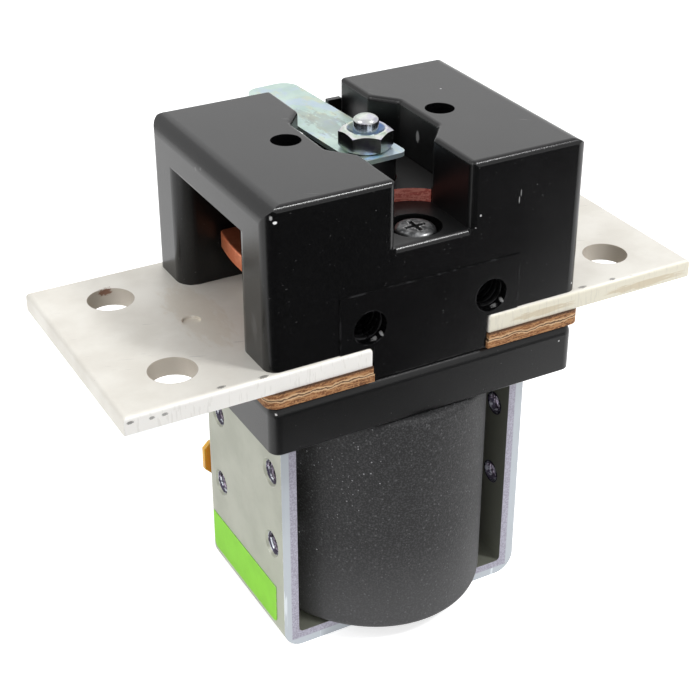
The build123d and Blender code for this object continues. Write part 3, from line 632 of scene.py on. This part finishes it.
# %% Paint shade and glints into the threaded holes
HOLE_Y = 14.6 * MM
HOLE_LEVELS = (28.8 * MM, 49.8 * MM)
LEG_THICKNESS = 4.0 * MM
TAPPED_RADIUS = 3.1 * MM
TURN_WIDTH = 0.55 * MM
JUST_INSIDE = 0.1 * MM
to_side = math_node(tree, "SUBTRACT", math_node(tree, "ABSOLUTE", y), HOLE_Y)
nearest = None
for level in HOLE_LEVELS:
    distance = flat_distance(tree, to_side, math_node(tree, "SUBTRACT", z, level))
    nearest = distance if nearest is None else math_node(tree, "MINIMUM", nearest, distance)
in_hole = math_node(tree, "LESS_THAN", nearest, TAPPED_RADIUS)
leg_starts = frame_high.x - LEG_THICKNESS - JUST_INSIDE
on_leg = math_node(tree, "GREATER_THAN", math_node(tree, "ABSOLUTE", x), leg_starts)
in_hole = math_node(tree, "MULTIPLY", in_hole, on_leg)
_, glints = place_grain(tree, grain_size=0.0011, cloud_size=0.0016)
turn_phase = math_node(tree, "FRACT", math_node(tree, "DIVIDE", nearest, TURN_WIDTH))
turns = ramp_node(tree, turn_phase, 0.35, 0.75)
# Painted glints on the thread's crests, over painted shade in the rest of each hole.
painted_thread_glints = math_node(tree, "MULTIPLY", turns, ramp_node(tree, glints, 0.46, 0.58))
painted_hole_shade_and_glints = mix_colour(tree, painted_thread_glints, screen(66, 60, 78), screen(235, 240, 250))
with_painted_hole_shade = mix_colour(tree, in_hole, front_edge_with_painted_sheen, painted_hole_shade_and_glints)
drive(tree, "Base Color", with_painted_hole_shade)
dress(frame_zinc, "frame", "pole_plate")

# %% [markdown]
# ## Busbars
# Thick bars with a dull, warm white plate. Their tops are almost even, the walls of the bolt holes are
# darker, and the sheared front edges carry knocks where the base metal shows. A spot of rust sits in the
# wall of the left bar's rear hole, and the left bar is tinted by heat where the arc vents over it. The left
# bar's front faces are painted near white, a painted sheen, and the right bar's front edge is straw-coloured.
# These marks are placed one by one.

# %% Finish the busbars
def busbar_plate(name, marks, front_tint_and_sheen):
    """The plate of one bar, with its own marks and a colour for its front faces: a straw tint on the right
    bar, a painted sheen on the left.
    """
    material, tree = zinc(
        name, screen(238, 235, 227), screen(228, 224, 215),
        rough=(0.5, 0.6), streak=(0.4, 1.0, 1.0), metallic=0.25,
    )
    colour = painted(material)[1]
    shear_marks = place_mask(tree, scratch_group, Stretch=(1500.0, 600.0, 240.0), Turn=0.0, Amount=0.8)
    # Front faces take the front colour: near white as a painted sheen on the left bar, straw on the right.
    front_face = facing_mask(tree, "-Y", 0.6, 0.9)
    colour = mix_colour(tree, front_face, colour, front_tint_and_sheen)
    sheared = math_node(tree, "MULTIPLY", shear_marks, front_face)
    colour = mix_colour(tree, faded(tree, sheared, 0.16), colour, screen(190, 186, 178))
    x, y, _ = place_parts(tree)
    to_bolt_x = math_node(tree, "SUBTRACT", math_node(tree, "ABSOLUTE", x), BOLT_X)
    to_bolt_y = math_node(tree, "SUBTRACT", math_node(tree, "ABSOLUTE", y), BOLT_Y)
    in_bore = math_node(tree, "LESS_THAN", flat_distance(tree, to_bolt_x, to_bolt_y), BORE_RADIUS)
    colour = mix_colour(tree, in_bore, colour, screen(196, 188, 176))
    drive(tree, "Base Color", add_marks(tree, colour, marks))
    return material


BOLT_X = 58.0 * MM
BOLT_Y = 18.3 * MM
BORE_RADIUS = 5.6 * MM
RUST = screen(120, 70, 40)
BARE = screen(110, 108, 104)
TINT = screen(190, 165, 120)
left_marks = [
    ((-57.2, 23.9, 86.2), (2.2, 0.9, 0.9), RUST, 0.5, 0.85),
    ((-43.0, 2.0, 87.0), (6.0, 16.0, 2.0), TINT, 0.5, 0.16),
    ((-51.7, -29.7, 87.0), (1.1, 0.5, 0.5), BARE, 0.6, 0.8),
    ((-41.9, -30.2, 87.0), (1.2, 0.5, 0.4), BARE, 0.6, 0.8),
    ((-73.0, -31.0, 85.5), (0.9, 0.5, 0.4), BARE, 0.6, 0.8),
    ((-68.2, -31.0, 85.2), (0.7, 0.5, 0.4), BARE, 0.6, 0.7),
    ((-65.3, -31.0, 85.2), (0.8, 0.5, 0.4), BARE, 0.6, 0.7),
]
right_marks = [
    ((42.5, -29.9, 87.0), (1.3, 0.5, 0.4), BARE, 0.6, 0.7),
    ((51.3, -30.0, 87.0), (0.9, 0.5, 0.4), BARE, 0.6, 0.7),
    ((60.0, -31.0, 84.0), (12.0, 1.0, 1.0), TINT, 0.5, 0.4),
    ((30.0, -31.0, 84.2), (9.0, 1.0, 0.9), TINT, 0.5, 0.4),
]
# The left bar's near-white front colour is a painted sheen.
dress(busbar_plate("busbar_plate_left", left_marks, screen(254, 252, 248)), "busbar_left")
dress(busbar_plate("busbar_plate_right", right_marks, screen(236, 231, 214)), "busbar_right")

# %% [markdown]
# ## One recipe for plain metal
# Several pieces are plain metal that differs only in colour and in how dull it has become, so one function
# makes them all: a bright and a dull colour clouded together, and bright edges where the piece was handled.

# %% A recipe for metal
def bare_metal(name, bright, dull, rough, cloud_size=0.006, metallic=1.0):
    """Unplated or plainly plated metal, clouded between a bright and a dull colour."""
    material, tree = start_material(name, Metallic=metallic)
    grain, clouds = place_grain(tree, grain_size=0.0004, cloud_size=cloud_size)
    edges = place_mask(tree, edge_group, Width=0.0004, Break_Up=0.002)
    cloud = ramp_node(tree, clouds, 0.35, 0.65)
    toned = mix_colour(tree, cloud, bright, dull)
    rubbed = mix_colour(tree, faded(tree, edges, 0.5), toned, bright)
    drive(tree, "Base Color", rubbed)
    drive(tree, "Roughness", mix_value(tree, cloud, *rough))
    add_bump(tree, grain, distance=0.00002, strength=0.6)
    return material


print("metal recipe ready")

# %% [markdown]
# ## Strap
# The strap on top is pale zinc with a green-blue cast. Bluish and straw patches of tarnish lie on it, grey
# rub marks where it was handled, and in front of the nut a painted bright reflection and a painted dark
# line of shade.

# %% Finish the strap
strap_zinc, tree = zinc(
    "strap_zinc", screen(192, 211, 202), screen(166, 189, 184),
    rough=(0.3, 0.42), streak=(1.0, 0.3, 1.0), metallic=0.7,
)
colour = painted(strap_zinc)[1]
tarnish, tarnish_clouds = place_grain(tree, grain_size=0.0022, cloud_size=0.007, stretch=(1.0, 0.35, 1.0))
bluish = faded(tree, ramp_node(tree, tarnish_clouds, 0.5, 0.62), 0.55)
colour = mix_colour(tree, bluish, colour, screen(176, 190, 214))
strawy = faded(tree, ramp_node(tree, tarnish, 0.52, 0.66), 0.5)
colour = mix_colour(tree, strawy, colour, screen(196, 198, 168))
RUB = screen(135, 140, 138)
strap_rubs_and_painted_light = (
    ((-1.0, 16.0, 120.5), (4.0, 9.0, 1.0), RUB, 1.0, 0.5),
    ((1.5, 9.0, 120.5), (2.0, 4.0, 1.0), RUB, 1.0, 0.6),
    ((-3.5, 24.0, 120.5), (1.6, 5.0, 1.0), RUB, 1.0, 0.4),
    # A painted reflection in front of the nut, and a painted dark line of shade by it.
    ((-1.6, -6.2, 120.5), (2.6, 0.9, 0.5), screen(190, 226, 255), 0.6, 1.0),
    ((-0.3, -4.9, 120.5), (1.4, 0.35, 0.5), screen(24, 28, 44), 0.4, 1.0),
)
drive(tree, "Base Color", add_marks(tree, colour, strap_rubs_and_painted_light))
dress(strap_zinc, "strap")

# %% [markdown]
# ## Nut, spindle and screws
# The nut and the spindle are bright zinc. Its clear passivation makes thin bands of green, violet, silver
# and straw, which a noise steers through a colour ramp. The nut's sink is bluer, and below its end the
# spindle is painted bluer as a painted reflection, so a second ramp serves there. The cover's screws are
# the plain metal of the recipe, painted dark as painted shade in their sinks, with painted glints along
# their edges.

# %% Finish the bright zinc
def bright_zinc(name, band_radius, band_level, cloud_size, blue, blue_end):
    """Bright zinc, bluer near the spindle's axis and below a level. Both limits are in millimetres."""
    material, tree = start_material(name, Metallic=1.0)
    grain, clouds = place_grain(tree, grain_size=0.0005, cloud_size=cloud_size)
    bands = (
        (0.30, screen(168, 180, 174)),
        (0.42, screen(176, 172, 192)),
        (0.52, screen(200, 203, 198)),
        (0.62, screen(176, 190, 178)),
        (0.72, screen(186, 186, 158)),
    )
    tints = colour_ramp(tree, clouds, *bands)
    blues = colour_ramp(tree, clouds, (0.38, blue), (0.64, blue_end))
    place = object_place(tree)
    from_axis = vector_node(tree, "LENGTH", vector_node(tree, "MULTIPLY", place, (1.0, 1.0, 0.0)))
    level = vector_node(tree, "DOT_PRODUCT", place, (0.0, 0.0, 1.0))
    outside = ramp_node(tree, from_axis, (band_radius - 0.25) * MM, (band_radius + 0.25) * MM)
    above = ramp_node(tree, level, (band_level - 0.5) * MM, (band_level + 0.3) * MM)
    plain = math_node(tree, "MAXIMUM", outside, above)
    banded = mix_colour(tree, plain, blues, tints)
    edges = place_mask(tree, edge_group, Width=0.0003, Break_Up=0.001)
    worn = faded(tree, edges, 0.7)
    rubbed = mix_colour(tree, worn, banded, screen(245, 245, 248))
    drive(tree, "Base Color", rubbed)
    drive(tree, "Roughness", mix_value(tree, grain, 0.14, 0.28))
    add_bump(tree, grain, distance=0.00001, strength=0.5)
    return material


ABOVE_THE_NUT = 200.0
ROUND_THE_SPINDLE = 50.0
nut_zinc = bright_zinc(
    "nut_zinc", band_radius=4.4, band_level=ABOVE_THE_NUT, cloud_size=0.004,
    blue=screen(96, 122, 168), blue_end=screen(120, 132, 128),
)
dress(nut_zinc, "nut")
# Below 127 mm the spindle is painted bluer: a painted reflection round the foot of its dome.
spindle_zinc = bright_zinc(
    "spindle_zinc", band_radius=ROUND_THE_SPINDLE, band_level=127.0, cloud_size=0.012,
    blue=screen(170, 184, 206), blue_end=screen(186, 190, 180),
)
dress(spindle_zinc, "spindle")

# The screws' zinc is painted dark: painted shade deep in their sinks.
worn_zinc_in_painted_shade = bare_metal(
    "worn_zinc_in_painted_shade", screen(138, 139, 140), screen(66, 67, 68), rough=(0.3, 0.55), cloud_size=0.002
)
tree, colour = painted(worn_zinc_in_painted_shade)
# Painted glints along the rim and the edges of the cross recess.
painted_edge_glints = place_mask(tree, edge_group, Width=0.0008, Break_Up=0.0007)
with_painted_edge_glints = mix_colour(tree, painted_edge_glints, colour, grey(245))
drive(tree, "Base Color", with_painted_edge_glints)
dress(worn_zinc_in_painted_shade, "cover_screws")

# %% [markdown]
# ## Coil
# The coil is wrapped in a dark matt skin with a sandy tone. It is painted darker up under the flange and
# paler towards the foot: painted shade. Fine and coarse bright specks lie all over it. One patch at the
# upper left carries painted glints where a highlight falls: there a third set of specks is kept only
# inside a mark.

# %% Finish the coil
FOOT_FADE = (4.0 * MM, 34.0 * MM)
GLITTER_MIDDLE = (-0.022, -0.026, 0.060)
GLITTER_SIZE = (0.012, 0.016, 0.020)
coil_skin, tree = start_material("coil_skin", Specular_IOR_Level=0.4)
grain, _ = place_grain(tree, grain_size=0.0006, cloud_size=0.01)
fine = place_mask(tree, speck_group, Spacing=0.0007, Share=0.3, Dot_Size=0.4)
coarse = place_mask(tree, speck_group, Spacing=0.0024, Share=0.10, Dot_Size=0.09)
# Painted shade: the skin is darker up under the flange and paler towards the foot.
height = vector_node(tree, "DOT_PRODUCT", object_place(tree), (0.0, 0.0, 1.0))
painted_light_towards_foot = falling_node(tree, height, *FOOT_FADE)
toned = mix_colour(tree, painted_light_towards_foot, screen(34, 34, 35), screen(72, 72, 73))
sand, _ = place_grain(tree, grain_size=0.00042, cloud_size=0.01)
sandy = faded(tree, ramp_node(tree, sand, 0.44, 0.66), 0.3)
toned = mix_colour(tree, sandy, toned, screen(104, 104, 106))
toned = mix_colour(tree, faded(tree, fine, 0.45), toned, screen(112, 112, 114))
toned = mix_colour(tree, faded(tree, coarse, 0.9), toned, screen(200, 200, 204))
# Painted glints: a third set of specks, kept only in the patch where a highlight falls.
glitter = place_mask(tree, speck_group, Spacing=0.0009, Share=0.5, Dot_Size=0.22)
cluster = place_mask(tree, mark_group, Middle=GLITTER_MIDDLE, Size=GLITTER_SIZE, Fray=0.6)
painted_glints_in_highlight = math_node(tree, "MULTIPLY", glitter, cluster)
toned = mix_colour(tree, faded(tree, painted_glints_in_highlight, 0.8), toned, screen(180, 180, 184))
drive(tree, "Base Color", toned)
drive(tree, "Roughness", mix_value(tree, grain, 0.5, 0.8))
relief = math_node(tree, "ADD", grain, fine)
add_bump(tree, relief, distance=0.00006, strength=0.7)
dress(coil_skin, "coil_jacket")

# %% [markdown]
# ## Fibre pads and the guide block
# The pads are cut from pressed fibre board: light threads run through a brown body, and they lie flat, so
# the pattern is stretched along the board and squeezed through its thickness. The guide block is a denser
# red fibre, and its top is painted near black: painted shade, deep in the pocket.

# %% Finish the fibre
def fibre(name, dark, mid, light, rough):
    """Pressed fibre: a body clouded between two colours, with threads in a third."""
    material, tree = start_material(name, Roughness=rough)
    body, clouds = place_grain(tree, grain_size=0.0012, cloud_size=0.006, stretch=(0.35, 0.35, 2.5))
    threads = place_mask(tree, scratch_group, Stretch=(260.0, 1500.0, 2600.0), Turn=0.2, Amount=1.0)
    cross = place_mask(tree, scratch_group, Stretch=(240.0, 1700.0, 2600.0), Turn=1.8, Amount=0.9)
    toned = mix_colour(tree, ramp_node(tree, clouds, 0.35, 0.65), dark, mid)
    all_threads = math_node(tree, "MAXIMUM", threads, cross)
    threaded = mix_colour(tree, all_threads, toned, light)
    drive(tree, "Base Color", threaded)
    add_bump(tree, body, distance=0.00012, strength=0.9)
    return material


pad_fibre = fibre("pad_fibre", screen(102, 62, 32), screen(140, 90, 50), screen(176, 128, 84), rough=0.72)
red_fibre = fibre("red_fibre", screen(186, 92, 82), screen(206, 112, 100), screen(222, 140, 126), rough=0.5)
tree, colour = painted(red_fibre)
# Painted shade: the block's top faces are painted near black, deep in the pocket.
painted_top_shade = mix_colour(tree, facing_mask(tree, "Z", 0.5, 0.9), colour, screen(14, 12, 12))
drive(tree, "Base Color", painted_top_shade)
dress(pad_fibre, "pad_left_lower", "pad_left_upper", "pad_right_lower", "pad_right_upper")
dress(red_fibre, "guide_block")

# %% [markdown]
# ### The seam between the plies
# The two plies of a pad meet in a wavy line: cut fibres stand out pale on both sides of a dark gap. Right
# under the bar the pad is painted dark again, as painted shade. All three are bands by height, and a noise
# bends the first two.

# %% Draw the seam
SEAM_WAVE = 2.4 * MM
PALE_BAND = (0.35 * MM, 0.6 * MM)
GAP_BAND = (0.08 * MM, 0.24 * MM)
BAR_SHADE_STARTS = 0.75 * MM
BAR_SHADE_IS_FULL = 0.15 * MM
tree, colour = painted(pad_fibre)
lower_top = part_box("pad_left_lower")[1].z
upper_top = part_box("pad_left_upper")[1].z
_, _, z = place_parts(tree)
_, ripple = place_grain(tree, grain_size=0.0016, cloud_size=0.004)
waved = faded(tree, math_node(tree, "SUBTRACT", ripple, 0.5), SEAM_WAVE)
from_seam = math_node(tree, "ADD", math_node(tree, "SUBTRACT", z, lower_top), waved)
from_seam = math_node(tree, "ABSOLUTE", from_seam)
pale = falling_node(tree, from_seam, *PALE_BAND)
colour = mix_colour(tree, faded(tree, pale, 0.8), colour, screen(226, 190, 148))
gap = falling_node(tree, from_seam, *GAP_BAND)
colour = mix_colour(tree, faded(tree, gap, 0.9), colour, screen(70, 38, 16))
# Painted shade right under the bar.
painted_shade_under_bar = ramp_node(tree, z, upper_top - BAR_SHADE_STARTS, upper_top - BAR_SHADE_IS_FULL)
colour = mix_colour(tree, faded(tree, painted_shade_under_bar, 0.9), colour, screen(62, 36, 16))
drive(tree, "Base Color", colour)
print("seam at", round(lower_top / MM, 2), "mm")

# %% [markdown]
# ## Copper, silver, brass and steel
# The bridge is rolled copper, and its top is painted darker brown: a painted reflection of the black plastic
# above it. The tips are silver alloy. Brass and bare steel parts sit inside or behind.

# %% Finish the other metals
copper = bare_metal(
    "copper", screen(236, 152, 112), screen(206, 116, 78), rough=(0.34, 0.5), metallic=0.7
)
silver = bare_metal("silver", screen(232, 232, 228), screen(200, 198, 190), rough=(0.25, 0.4))
brass = bare_metal("brass", screen(226, 192, 112), screen(206, 168, 92), rough=(0.2, 0.35))
steel = bare_metal("steel", screen(190, 190, 192), screen(160, 160, 163), rough=(0.22, 0.38))
wire = bare_metal(
    "enamelled_wire", screen(170, 84, 44), screen(130, 60, 30), rough=(0.3, 0.4), cloud_size=0.002
)
tree, colour = painted(copper)
# Painted reflection: the top faces are painted darker brown, as if mirroring the black plastic above.
painted_reflection_on_top = faded(tree, facing_mask(tree, "Z", 0.5, 0.9), 0.65)
with_painted_top_reflection = mix_colour(tree, painted_reflection_on_top, colour, screen(132, 62, 44))
drive(tree, "Base Color", with_painted_top_reflection)
dress(copper, "bridge")
dress(silver, "fixed_tip_left", "fixed_tip_right", "bridge_tip_left", "bridge_tip_right")
dress(brass, "guide_tube", "coil_tabs", "tab_rivets")
dress(steel, "core", "plunger", "clip", "return_spring", "contact_spring")
dress(wire, "winding")

# %% [markdown]
# ## Board, bobbin and label
# The terminal board is amber resin board, and some light passes through it. The label is a plain green
# film, bare, with a faint ripple and a paler rim where it was cut.

# %% Finish the board, the bobbin and the label
def film(name, colour, shade, rough, coat):
    """Smooth sheet or moulding with a thin gloss on top and a paler rim."""
    material, tree = start_material(name, Roughness=rough, Coat_Weight=coat, Coat_Roughness=0.15)
    _, clouds = place_grain(tree, grain_size=0.0008, cloud_size=0.008)
    edges = place_mask(tree, edge_group, Width=0.0005, Break_Up=0.002)
    toned = mix_colour(tree, ramp_node(tree, clouds, 0.3, 0.7), colour, shade)
    rimmed = mix_colour(tree, faded(tree, edges, 0.4), toned, screen(245, 245, 235))
    drive(tree, "Base Color", rimmed)
    add_bump(tree, clouds, distance=0.0002, strength=0.4)
    return material


amber = film("amber_board", screen(255, 186, 66), screen(255, 170, 44), rough=0.5, coat=0.1)
amber_shader = shader_of(amber.node_tree)
amber_shader.inputs["Subsurface Weight"].default_value = 0.6
amber_shader.inputs["Subsurface Radius"].default_value = (1.0, 0.6, 0.2)
amber_shader.inputs["Subsurface Scale"].default_value = 0.003
dress(amber, "terminal_board")
dress(film("bobbin_plastic", screen(215, 212, 200), screen(200, 196, 182), rough=0.45, coat=0.0), "bobbin")
dress(film("green_film", screen(152, 236, 44), screen(144, 226, 38), rough=0.6, coat=0.05), "label")

# %% [markdown]
# ## Threads in the frame's holes
# The legs are tapped, and light catches the thread just inside each hole. A thread is one small tooth that is
# turned round an axis while it climbs. The Screw modifier does exactly that: it is given the tooth's outline
# and makes the helix. The finished thread is copied to all eight holes, each copy with its own mesh.

# %% Turn a thread
# The thread is painted dark, as painted shade inside the hole.
thread_in_painted_shade = bare_metal(
    "thread_in_painted_shade", screen(168, 158, 176), screen(52, 46, 56), rough=(0.22, 0.4), cloud_size=0.0009
)
HOLE_RADIUS = 2.5 * MM
THREAD_PITCH = 1.0 * MM
THREAD_TOOTH = 0.28 * MM
THREAD_SET_IN = 0.6 * MM
CREST_STARTS = 0.42
CREST_ENDS = 0.5
TOOTH_ENDS = 0.92
STEPS_PER_TURN = 24
THREAD_MERGE = 0.01 * MM
SMOOTH_ANGLE = math.radians(40)


def turned_thread(name, radius, tooth, pitch, length):
    """A helical ridge along X from 0 to length that points inwards from the radius."""
    bpy.ops.object.select_all(action="DESELECT")
    bpy.ops.mesh.primitive_plane_add(size=1.0)
    thread = bpy.context.object
    thread.name = name
    bpy.ops.object.mode_set(mode="EDIT")
    bpy.ops.mesh.select_all(action="SELECT")
    bpy.ops.mesh.delete(type="ONLY_FACE")
    bpy.ops.object.mode_set(mode="OBJECT")
    tooth_start = (0.0, radius)
    crest_start = (pitch * CREST_STARTS, radius - tooth)
    crest_end = (pitch * CREST_ENDS, radius - tooth)
    tooth_end = (pitch * TOOTH_ENDS, radius)
    # The plane counts its corners row by row, so the last two change places.
    outline = (tooth_start, crest_start, tooth_end, crest_end)
    for vertex, (along, out) in zip(thread.data.vertices, outline):
        vertex.co = (along, out, 0.0)
    screw = thread.modifiers.new("turn", "SCREW")
    screw.axis = "X"
    screw.angle = math.tau
    screw.screw_offset = pitch
    screw.iterations = max(1, int(length / pitch))
    screw.steps = STEPS_PER_TURN
    screw.render_steps = STEPS_PER_TURN
    screw.use_merge_vertices = True
    screw.merge_threshold = THREAD_MERGE
    bpy.ops.object.modifier_apply(modifier="turn")
    bpy.ops.object.shade_smooth_by_angle(angle=SMOOTH_ANGLE)
    return thread


print("threads can be turned")

# %% Set a thread in each hole
def settle(piece):
    """Puts an object's place into its mesh, so that its origin is the frame's."""
    bpy.ops.object.select_all(action="DESELECT")
    piece.select_set(True)
    bpy.context.view_layer.objects.active = piece
    bpy.ops.object.transform_apply(location=True, rotation=True, scale=True)
    bpy.ops.object.mode_set(mode="EDIT")
    bpy.ops.mesh.select_all(action="SELECT")
    bpy.ops.mesh.normals_make_consistent(inside=False)
    bpy.ops.object.mode_set(mode="OBJECT")


def place_thread(first, name, place, turn, material):
    """A copy of a finished thread with its own mesh, set in one hole."""
    thread = new_object(name, first.data.copy())
    thread.rotation_euler = (0.0, 0.0, turn)
    thread.location = place
    settle(thread)
    thread.data.materials.append(material)
    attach(thread, "body")


thread_length = LEG_THICKNESS - THREAD_PITCH
first_thread = turned_thread("leg_thread", HOLE_RADIUS, THREAD_TOOTH, THREAD_PITCH, thread_length)
made = 0
for leg_start in (frame_low.x, frame_high.x - LEG_THICKNESS):
    for hole_y in (-HOLE_Y, HOLE_Y):
        for level in HOLE_LEVELS:
            place = (leg_start + THREAD_SET_IN, hole_y, level)
            place_thread(first_thread, f"leg_thread_{made}", place, 0.0, thread_in_painted_shade)
            made += 1
bpy.data.objects.remove(first_thread)
print("threads", made)

# %% [markdown]
# ### Threads in the front holes
# The two blind holes low on the front were cut by screws too: their black walls carry a coarse thread, and
# its flanks catch the light low on the right. It is the same helix with other numbers, turned to run along Y.

# %% Model the threads in the front holes
FRONT_HOLE_RADIUS = 4.15 * MM
FRONT_HOLE_X = 15.9 * MM
FRONT_HOLE_LEVEL = 92.1 * MM
FRONT_THREAD_START = 29.4 * MM
FRONT_THREAD_TOOTH = 0.45 * MM
FRONT_THREAD_PITCH = 1.75 * MM
FRONT_THREAD_LENGTH = 8.8 * MM
front_thread = turned_thread(
    "front_thread", FRONT_HOLE_RADIUS, FRONT_THREAD_TOOTH, FRONT_THREAD_PITCH, FRONT_THREAD_LENGTH
)
for side in (-1, 1):
    place = (side * FRONT_HOLE_X, -FRONT_THREAD_START, FRONT_HOLE_LEVEL)
    place_thread(front_thread, f"front_thread_{made}", place, math.pi / 2, cover_plastic)
    made += 1
bpy.data.objects.remove(front_thread)
print("threads", made)

# %% [markdown]
# ## The spindle's end
# On the real part the spindle ends in a low dome, about a millimetre lower than the one in CAD and flatter.
# A CAD mesh is never changed, so a copy takes its place: its loose triangles are merged, the dome's points
# are selected by their level, one resize about the dome's foot presses them down, and a small lift follows.

# %% Press the dome
DOME_FOOT = 126.75 * MM
DOME_LIFT = 0.35 * MM
DOME_SHARE = 0.5
FOOT_MARGIN = 0.1 * MM
SAME_POINT = 0.002 * MM


def merged_copy(node, name):
    """A new piece with a CAD node's mesh, whose loose triangles are joined at their corners."""
    piece = new_object(name, nodes[node].data.copy())
    bpy.ops.object.select_all(action="DESELECT")
    piece.select_set(True)
    bpy.context.view_layer.objects.active = piece
    bpy.ops.object.mode_set(mode="EDIT")
    bpy.ops.mesh.select_all(action="SELECT")
    bpy.ops.mesh.remove_doubles(threshold=SAME_POINT)
    bpy.ops.mesh.select_all(action="DESELECT")
    bpy.ops.object.mode_set(mode="OBJECT")
    return piece


low_spindle = merged_copy("spindle", "spindle_with_low_dome")
for vertex in low_spindle.data.vertices:
    vertex.select = vertex.co.z > DOME_FOOT - FOOT_MARGIN
bpy.ops.object.mode_set(mode="EDIT")
bpy.ops.mesh.select_mode(type="VERT")
bpy.ops.transform.resize(value=(1.0, 1.0, DOME_SHARE), center_override=(0.0, 0.0, DOME_FOOT))
bpy.ops.transform.translate(value=(0.0, 0.0, DOME_LIFT))
bpy.ops.object.mode_set(mode="OBJECT")
bpy.ops.object.shade_smooth_by_angle(angle=SMOOTH_ANGLE)
low_spindle.data.materials.clear()
low_spindle.data.materials.append(spindle_zinc)
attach(low_spindle, "armature")
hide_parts("spindle")
print("spindle's top", max(v.co.z for v in low_spindle.data.vertices))

# %% [markdown]
# ## Springs
# A coil spring is held at one end and squeezed at the other. Each gets a merged copy with its own mesh
# that rides on one body: the return spring on the body, and the contact spring on the armature.


def squeezed_spring(node, body):
    """A copy of a CAD spring with its loose triangles merged, riding on one body."""
    spring = merged_copy(node, node + "_wire")
    bpy.ops.object.shade_smooth_by_angle(angle=SMOOTH_ANGLE)
    spring.data.materials.clear()
    spring.data.materials.append(steel)
    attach(spring, body)
    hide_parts(node)
    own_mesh(spring)


squeezed_spring("return_spring", "body")
squeezed_spring("contact_spring", "armature")

# %% [markdown]
# ## Studio
# A pale floor, an even white surround and soft lamps. To the camera and in reflections, floor and surround
# look white. They light the part less than that, so that its shadows and its blacks stay deep.

# %% Build the floor
FLOOR_SIZE = 6.0
FLOOR_GLOW = 0.68


def seen_directly(tree):
    """A mask that is 1 for what the camera sees, also by reflection or through glass."""
    path = tree.nodes.new("ShaderNodeLightPath")
    seen = math_node(tree, "MAXIMUM", path.outputs["Is Camera Ray"], path.outputs["Is Glossy Ray"])
    return math_node(tree, "MAXIMUM", seen, path.outputs["Is Transmission Ray"])


bpy.ops.mesh.primitive_grid_add(x_subdivisions=2, y_subdivisions=2, size=FLOOR_SIZE, location=(0, 0, 0))
floor = bpy.context.object
floor.name = "floor"
floor_material, tree = start_material(
    "floor_paint", Base_Color=(0.82, 0.82, 0.82, 1.0), Roughness=0.9, Emission_Color=(1.0, 1.0, 1.0, 1.0)
)
drive(tree, "Emission Strength", faded(tree, seen_directly(tree), FLOOR_GLOW))
floor.data.materials.append(floor_material)
print("floor", floor.dimensions[:])

# %% [markdown]
# ### A dark card
# The cover's front mirrors the floor in front of it on the right. A black card lies there, so the front
# stays dark. Only mirror images show the card: the camera doesn't see it, and it takes no light away. Its
# right corner next to the part is cut off by a slanted line, so the front turns lighter towards its right.

# %% Lay out the dark card
CARD_MIDDLE = (0.12, -0.36, 0.002)
CARD_SIZE = (0.90, 0.52)
CUT_POINT = (0.045, -0.10, 0.0)
CUT_DIRECTION = (0.35, 0.55, 0.0)
bpy.ops.object.select_all(action="DESELECT")
bpy.ops.mesh.primitive_plane_add(size=1.0, location=CARD_MIDDLE)
card = bpy.context.object
card.name = "dark_card"
bpy.ops.object.mode_set(mode="EDIT")
bpy.ops.transform.resize(value=(*CARD_SIZE, 1.0), center_override=CARD_MIDDLE)
bpy.ops.mesh.select_all(action="SELECT")
bpy.ops.mesh.bisect(plane_co=CUT_POINT, plane_no=CUT_DIRECTION, clear_outer=True)
bpy.ops.object.mode_set(mode="OBJECT")
card_material, _ = start_material("card_black", Base_Color=(0.01, 0.01, 0.01, 1.0), Roughness=1.0)
card.data.materials.append(card_material)
card.visible_camera = False
card.visible_shadow = False
card.visible_diffuse = False
print("card", CARD_MIDDLE)

# %% [markdown]
# ### Lamps
# The main lamp hangs high behind the part, where the cover's top mirrors it: that is what turns black
# plastic grey on top and leaves the front dark. A small lamp high in front lights metal and label without
# being mirrored by upright faces, and a third lamp lights the left faces.

# %% Light the part
PART_MIDDLE = Vector((0.0, 0.0, 0.07))
LAMP_DISTANCE = 1.4


def soft_lamp(name, direction, size, energy):
    """A square lamp that looks at the part's middle."""
    lamp_data = bpy.data.lights.new(name, "AREA")
    lamp_data.shape = "SQUARE"
    lamp_data.size = size
    lamp_data.energy = energy
    lamp = new_object(name, lamp_data)
    lamp.location = PART_MIDDLE + Vector(direction).normalized() * LAMP_DISTANCE
    lamp.rotation_mode = "QUATERNION"
    lamp.rotation_quaternion = (PART_MIDDLE - lamp.location).to_track_quat("-Z", "Y")
    print("lamp", name, [round(v, 2) for v in lamp.location])


soft_lamp("lamp_back", direction=(0.36, 0.66, 0.90), size=1.5, energy=3.2)
soft_lamp("lamp_front", direction=(0.42, -0.5, 0.755), size=0.2, energy=8.0)
soft_lamp("lamp_left", direction=(-1.0, 0.1, 0.9), size=0.7, energy=3.4)

# %% Light the surround
SURROUND_LIGHT = 0.6
SURROUND_SEEN = 1.0
world = bpy.data.worlds.new("surround")
bpy.context.scene.world = world
world.use_nodes = True
tree = world.node_tree
surround = tree.nodes["Background"]
surround.inputs["Color"].default_value = (1.0, 1.0, 1.0, 1.0)
strength = mix_value(tree, seen_directly(tree), SURROUND_LIGHT, SURROUND_SEEN)
join(tree, strength, surround.inputs["Strength"])
bpy.context.scene.view_settings.view_transform = "Standard"
print("surround lights with", SURROUND_LIGHT)
